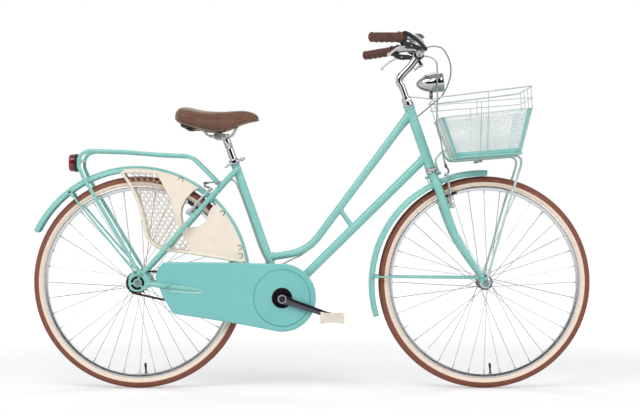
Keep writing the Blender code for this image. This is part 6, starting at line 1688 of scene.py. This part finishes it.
def seat_clamp():
    """Band round the seat tube, its bolt level with the stays' head, the lug, the head, a washer and the nut."""
    top = seat(0.4775, -0.0215)
    rear, front = top + (-0.031, 0, -0.016), top + (0.037, 0, 0.0125)
    run = unit(front - rear)
    shells = [
        turned(collar(0.0146, 0.0181, 0.4695, 0.4855, 0.0005, 0.0008), BRACKET, SEAT_UP, 64, loop=True),
        rod(rear, front, 0.0034, 20, 0.0006),
        block((0.018, 0.0092, 0.013), seat(0.4775, -0.0205), run, SEAT_UP, 0.3),
        hexagon(rear - run * 0.0005, rear + run * 0.009, 0.007),
        pin(front, run, -0.017, -0.006, 0.0064, 24, 0.001),
        pin(rear, run, 0.0092, 0.0104, 0.0076, 24),
    ]
    piece("seat_clamp_band", shells, CHROME, "frame", "seat_clamp")


saddle_cushion()
saddle_underside()
saddle_fittings()
seat_clamp()


# Basket and its carrier
# Each ring of the basket: x and z at the rear, x and z in front, half width
BASKET_RIM, BASKET_UPPER = (0.397, 0.948, 0.708, 0.986, 0.17), (0.4032, 0.925, 0.7105, 0.949, 0.168)
BASKET_SHEET, BASKET_FLOOR = (0.4145, 0.885, 0.7127, 0.917, 0.165), (0.465, 0.759, 0.68, 0.774, 0.13)
SHEET_INSET, SHEET_COLUMNS = 0.0026, 150
BASKET_HOOPS = [BASKET_RIM, BASKET_UPPER, BASKET_SHEET, BASKET_FLOOR]
CARRIER_LOOP = mm(
    (574.1, 60, 365.5), (644.4, 60, 609.3), (683, 60, 730), (686.2, 60, 747), (682, 60, 760), (669, 60, 766.5),
    (476, 60, 751.5), (460, 60, 752.5), (447, 60, 764), (437.7, 56, 784), (437.7, 0, 784),
)


def basket_ring(size, inwards=0.0, lift=0.0, count=360):
    """A rounded rectangle that climbs towards the front, its points evenly spaced."""
    corner = 0.03
    x_rear, z_rear, x_front, z_front, half = size
    slope = (z_front - z_rear) / (x_front - x_rear)
    loop = []
    for sx, sy, start in ((1, 1, 0), (-1, 1, 90), (-1, -1, 180), (1, -1, 270)):
        x = (x_front - inwards - corner) if sx > 0 else (x_rear + inwards + corner)
        loop.append(arc(corner, start, start + 90, 16) + (x, sy * (half - inwards - corner)))
    loop = np.vstack(loop)
    loop = np.c_[loop, z_rear + slope * (loop[:, 0] - x_rear) + lift]
    return spaced(np.vstack([loop, loop[:1]]), count + 1)[:-1]


def basket_wires():
    """Welded wires: four hoops, uprights from the rim or the hoop below it down to the floor, and a floor grid."""
    shells = [tube(basket_ring(BASKET_RIM), 0.0022, 10, loop=True)]
    shells += [tube(basket_ring(size), 0.0014, 8, loop=True) for size in BASKET_HOOPS[1:]]
    rings = np.array([basket_ring(size) for size in BASKET_HOOPS])
    shells += [tube(rings[:, place], 0.0013, 8) for place in (118, 161, 285, 308, 331, 355)]
    for x, first in ((0.5431, 1), (0.5655, 0)):
        for side in (-1, 1):
            x_rear, z_rear, x_front, z_front, half = np.array(BASKET_HOOPS[first:]).T
            z = z_rear + (z_front - z_rear) / (x_front - x_rear) * (x - x_rear)
            shells.append(tube(np.stack([np.full_like(z, x), side * half, z], -1), 0.0013, 8))
    x_rear, z_rear, x_front, z_front, half = BASKET_FLOOR
    for y in (-0.1, -0.05, 0.0, 0.05, 0.1):
        shells.append(tube(line((x_rear, y, z_rear - 0.0006), (x_front, y, z_front - 0.0006), 4), 0.0014, 8))
    for x in (0.5, 0.54, 0.6, 0.64):
        z = z_rear + (z_front - z_rear) / (x_front - x_rear) * (x - x_rear) - 0.0006
        shells.append(tube(line((x, -half, z), (x, half, z), 4), 0.0014, 8))
    piece("basket_wires", shells, WIRE_PAINT, "steering", "basket")


def punched(grid, hole):
    """A grid with an eight-cornered hole in every cell, framed by eight faces. hole is its share of the cell."""
    rows, columns = grid.shape[:2]
    a, b, c, d = grid[:-1, :-1], grid[1:, :-1], grid[1:, 1:], grid[:-1, 1:]
    outer = np.stack([a, (a + b) / 2, b, (b + c) / 2, c, (c + d) / 2, d, (d + a) / 2], 2)
    middle = (a + b + c + d)[:, :, None] / 4
    inner = middle + (outer - middle) * hole * np.array([0.74, 1] * 4)[:, None]
    ringed = np.concatenate([outer, inner], 2)
    count = (rows - 1) * (columns - 1)
    points = ringed.reshape(-1, 3)
    k = np.arange(8)
    cell = np.stack([k, (k + 1) % 8, (k + 1) % 8 + 8, k + 8], -1)
    faces = (np.arange(count)[:, None, None] * 16 + cell[None]).reshape(-1, 4)
    return points, faces


def basket_sheet():
    """Perforated box: punched walls lofted between floor and rim rings with 8 mm cells, a plain band at each
    border, and a plain floor grid."""
    low = basket_ring(BASKET_FLOOR, SHEET_INSET, SHEET_INSET, SHEET_COLUMNS)
    high = basket_ring(BASKET_SHEET, SHEET_INSET, 0.0, SHEET_COLUMNS)
    share = np.linspace(0, 1, 23)[:, None, None]
    wall = low[None] * (1 - share) + high[None] * share
    wall = np.concatenate([wall, wall[:, :1]], 1)
    shells = [punched(wall[2:], 0.68)]
    x_rear, z_rear, x_front, z_front, half = BASKET_FLOOR
    xs, ys = np.linspace(x_rear + 0.0028, x_front - 0.0028, 28), np.linspace(-half + 0.0028, half - 0.0028, 34)
    gx, gy = np.meshgrid(xs, ys, indexing="ij")
    corner = np.maximum(np.abs(gx - (x_rear + x_front) / 2) - ((x_front - x_rear) / 2 - 0.0328), 0)
    limit = half - 0.0328 + np.sqrt(np.maximum(0.03**2 - np.minimum(corner, 0.03) ** 2, 0))
    gy = gy / (half - 0.0028) * np.minimum(limit, half - 0.0028)
    gz = z_rear + SHEET_INSET + (z_front - z_rear) / (x_front - x_rear) * (gx - x_rear)
    shells.append(punched(np.stack([gx, gy, gz], -1), 0.58))
    made = piece("basket_mesh_sheet", shells, SHEET_PAINT, "steering", "basket_panel", sharp=60)
    wall_sheet = made.modifiers.new("sheet", "SOLIDIFY")
    wall_sheet.thickness, wall_sheet.offset = 0.0008, 0.0
    bands = [sheet_loop(wall[0], wall[2])]
    centre = wall[:, :-1].mean(1, keepdims=True)
    # Corner strips: from the corner's own column, so many columns back towards the end and on along the side
    for end, side, first, last in ((1, -1, -1, 4), (1, 1, -1, 4), (-1, -1, -2, 2), (-1, 1, -2, 2)):
        corner_column = int(np.argmax(wall[0, :-1] @ point(end, side * 0.4, 0)))
        strip = wall[:, (corner_column + end * side * np.arange(first, last)) % SHEET_COLUMNS]
        out = unit((strip - centre) * (1, 1, 0)) * 0.0006
        near, far = strip + out, strip + out * 3
        bands.append(solid(np.concatenate([near[:, ::-1], far], 1)))
    bands.append(tube(basket_ring(BASKET_FLOOR, -0.0004, -0.0012), 0.0036, 12, loop=True))
    piece("basket_bands", bands, PAINT, "steering")


def sheet_loop(low, high):
    """A closed hoop of thin sheet between two rings."""
    centre = np.vstack([low, high]).mean(0)
    out = unit((low - centre) * (1, 1, 0)) * 0.0009
    low, high, out = low[:-1], high[:-1], out[:-1]
    return solid(np.stack([low - out, high - out, high + out, low + out]), loop=True)


def front_carrier():
    """One bent tube up both sides and round behind, flattened eyes at the axle, and the strut to the crown."""
    path = spaced(both_ways(bent([sided(p, -1) for p in CARRIER_LOOP], 0.014, 8)), 360)
    shells = [tube(path, 0.004, 20)]
    for side in (-1, 1):
        outline = [*arc(0.0105, 110, 430, 30), (0.0085, 0.02), (0.0005, 0.02)]
        shells.append(slab(outline, 0.0022, FRONT_AXLE + ACROSS * side * 0.0569, AHEAD, UP, 0.0003))
    strut = [steer(-0.022, forward=0.0228), steer(0.028, forward=0.0228), (0.429, 0, 0.7805), (0.4394, 0, 0.7851)]
    shells.append(tube(spaced(bent(strut, 0.02, 8), 60), 0.0032, 16))
    shells.append(hexagon(steer(-0.017, 0.0002, 0.0178), steer(-0.0168, 0.0002, 0.0285), 0.0054))
    for side in (-1, 1):
        y = side * 0.06
        shells.append(block((0.018, 0.004, 0.007), (0.55, y, 0.748), corner=0.6))
        shells.append(rod((0.55, y, 0.756), (0.55, y, 0.744), 0.0032, 16))
    piece("basket_support", shells, [TUBE_PAINT] * 4 + [ZINC] + [CHROME] * 4, "steering", "basket_carrier")


basket_wires()
basket_sheet()
front_carrier()


# Dust caps of the front hub
cap = mm((10, 35.2), (23.6, 35.2), (25, 34.4), (25, 33), (23.6, 31.8), (10, 31.8))
caps = [turned(cap, FRONT_AXLE, ACROSS * side, 64, loop=True) for side in (-1, 1)]
piece("front_hub_caps", caps, NICKEL, "front_wheel")


# Brakes and their cables
ARM_LENGTH, PAD_RADIUS = 0.108, 0.311
REAR_CABLE_END, REAR_CABLE_AIM = point(-0.3443, -0.0482, 0.6771), unit(point(-0.93, -0.3, -0.15))
FRONT_CABLE_END, FRONT_CABLE_AIM = point(0.4382, -0.047, 0.737), unit(point(0.3, -0.05, -0.95))
REAR_NOODLE = [
    REAR_CABLE_END + REAR_CABLE_AIM * 0.0006, REAR_CABLE_END + REAR_CABLE_AIM * 0.005, (-0.352, -0.053, 0.67),
    (-0.347, -0.0515, 0.665), (-0.338, -0.043, 0.663), (-0.337, -0.026, 0.663),
]
FRONT_NOODLE = [
    FRONT_CABLE_END + FRONT_CABLE_AIM * 0.0006, FRONT_CABLE_END + FRONT_CABLE_AIM * 0.006, (0.447, -0.05, 0.721),
    (0.448, -0.049, 0.713), (0.445, -0.041, 0.708), (0.445, -0.024, 0.707),
]


def brake_arm(end, name, side, foot, up, out, start, axle, noodle):
    """Forged arm: a rounded section carried up from the pivot boss, thinning towards the top, with its pad,
    pad post and nuts, the return spring, and on one side the bent cable guide."""
    pivot, sideways = foot + out * (start + 0.0045), ACROSS * side
    t = np.linspace(-0.0085, ARM_LENGTH, 60)
    lean = np.interp(t, [-0.0085, 0.03, 0.07, ARM_LENGTH], [0.0, 0.0, -0.0016, -0.0022])
    wide = np.interp(
        t, [-0.0085, -0.004, 0.0, 0.012, 0.03, 0.07, ARM_LENGTH - 0.004, ARM_LENGTH],
        [0.0044, 0.0092, 0.0099, 0.0093, 0.0086, 0.007, 0.0062, 0.0034],
    )
    deep = np.interp(t, [-0.0085, 0.0, 0.03, ARM_LENGTH], [0.0042, 0.0045, 0.0042, 0.0036])
    path = pivot + up * t[:, None] + sideways * lean[:, None]
    aim_at = pivot + up * 0.03 - axle
    angle = math.atan2(aim_at[2], aim_at[0])
    pad = around(axle, PAD_RADIUS, math.degrees(angle), side * 0.0188)
    post = pad * (1, 0, 1)
    radial, tangent = point(math.cos(angle), 0, math.sin(angle)), point(-math.sin(angle), 0, math.cos(angle))
    spring = [
        pivot - out * 0.004 + sideways * 0.0082, pivot - out * 0.005 + sideways * 0.0084 + up * 0.02,
        pivot - out * 0.005 + sideways * 0.007 + up * 0.055,
    ]
    cap = mm((0.1, 0), (8.6, 0), (9.4, 1), (9.4, 3.4), (8, 4.6), (0.1, 5))
    shells = [
        solid(carried(path, rounded(2.0, 2.0, 0.7, 4), np.stack([wide, deep], -1), up=out)),
        block((0.056, 0.006, 0.0104), pad - sideways * 0.0012, tangent, radial, 0.25),
        block((0.04, 0.0034, 0.0084), pad + sideways * 0.003, tangent, radial, 0.4),
        rod(pad, post + sideways * 0.056, 0.0031, 16),
        hexagon(post + sideways * 0.0518, post + sideways * 0.0568, 0.0056),
        pin(post, sideways, 0.026, 0.033, 0.0062, 20, 0.001),
        tube(flowing(spring, 20), 0.0009, 8), turned(cap, pivot + out * 0.004, out, 32),
    ]
    finishes = [SATIN, SOFT_BLACK, SOFT_BLACK, ZINC, ZINC, ZINC, ZINC, SATIN]
    if noodle:
        start, way = point(*noodle[0]), unit(point(*noodle[1]) - noodle[0])
        shells.append(tube(flowing(noodle, 50), 0.0028, 16))
        shells.append(pin(start, way, -0.002, 0.01, 0.0046, 20, 0.001))
        finishes += [NICKEL, NICKEL]
    else:
        clamp = pivot + up * (ARM_LENGTH - 0.01) + out * 0.0046 - sideways * 0.0022
        shells.append(bolt(clamp, out, 0.0048, 0.0032))
        finishes.append(ZINC)
    piece(f"{end}_arm_{name}", shells, finishes, f"{end}_brake_arm_{name}", f"{end}_brake_arm_{name}")


for end, foot, up, out, start, axle, noodle in (
    ("front", FRONT_BOSS, FRONT_BRAKE_UP, FRONT_BRAKE_OUT, 0.018, FRONT_AXLE, FRONT_NOODLE),
    ("rear", REAR_BOSS, SEAT_STAY_UP, REAR_BRAKE_OUT, 0.016, REAR_AXLE, REAR_NOODLE),
):
    brake_arm(end, "right", -1, sided(foot, -1), up, out, start, axle, noodle)
    brake_arm(end, "left", 1, foot, up, out, start, axle, None)


def beside_upper(index, side, drop):
    """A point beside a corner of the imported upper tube, below its middle."""
    here, ahead = UPPER_CAD[index], UPPER_CAD[index + 1] - UPPER_CAD[index]
    return here + unit(point(-ahead[2], 0, ahead[0])) * drop + ACROSS * side


UPPER_CAD = bent([steer(0.2), UPPER_CORNER, seat(0.148)], UPPER_BEND, 7)
FRONT_ROUTE = [
    BARREL_END - LEVER_BACK * 0.0006, BARREL_END - LEVER_BACK * 0.012,
    *mm((386, 108, 1109), (404, 50, 1096), (411, -10, 1078), (412, -44, 1045), (411.5, -47, 990), (411.8, -46, 935)),
    *mm((410, -45, 890), (413, -45, 850), (423.5, -45.5, 815), (432, -46.3, 760)),
    FRONT_CABLE_END - FRONT_CABLE_AIM * 0.008, FRONT_CABLE_END,
]


def behind_seat(along, back, side):
    """A point behind the seat tube's middle."""
    return seat(along, side) + point(-SEAT_UP[2], 0, SEAT_UP[0]) * back


UPPER_OFFSET = point(0.007, 0.014, -0.0053)
REAR_ROUTE = [
    sided(BARREL_END - LEVER_BACK * 0.0006, -1), sided(BARREL_END - LEVER_BACK * 0.012, -1),
    *mm((388, -115, 1118), (424.5, -80, 1115), (451, -30, 1085.3), (462, 15, 1052.2), (457.6, 46, 1015)),
    *mm((437.7, 50, 974), (412, 46, 950), (380, 38, 923), (354.9, 29, 902), (315, 16, 873)),
    UPPER_CAD[0] * 0.62 + UPPER_CAD[1] * 0.38 + UPPER_OFFSET,
    UPPER_CAD[0] * 0.25 + UPPER_CAD[1] * 0.75 + UPPER_OFFSET,
    beside_upper(2, 0.014, 0.009), beside_upper(4, 0.013, 0.011), beside_upper(6, 0.008, 0.0165),
    (-0.0525, 0.003, 0.431), (-0.089, -0.008, 0.414), (-0.12, -0.019, 0.401),
    behind_seat(0.135, 0.008, -0.0185), behind_seat(0.175, 0.015, -0.011),
    behind_seat(0.28, 0.015, -0.011), behind_seat(0.375, 0.0155, -0.01),
    (-0.256, -0.01, 0.6845), (-0.2778, -0.014, 0.686), (-0.3043, -0.03, 0.68), (-0.324, -0.041, 0.6795),
    REAR_CABLE_END - REAR_CABLE_AIM * 0.008, REAR_CABLE_END,
]


def cable(name, route, body, node_name, count):
    """Housing along its route, with a crimped ferrule at each end."""
    path = flowing(route, count)
    shells = [tube(path, 0.0024, 12)]
    for end, beyond in ((0, 1), (-1, -2)):
        run = unit(path[beyond] - path[end])
        shells.append(rod(path[end], path[end] + run * 0.009, 0.003, 16, 0.0004))
    return piece(name, shells, [HOUSING, ZINC, ZINC], body, node_name)


cable("front_cable_housing", FRONT_ROUTE, "steering", "front_brake_cable", 220)
rear_cable = cable("rear_cable_housing", REAR_ROUTE, None, "rear_brake_cable", 480)
# Beside the headset the cable passes from the steering to the frame
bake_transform(rear_cable)

bpy.context.scene.view_settings.view_transform = "Standard"
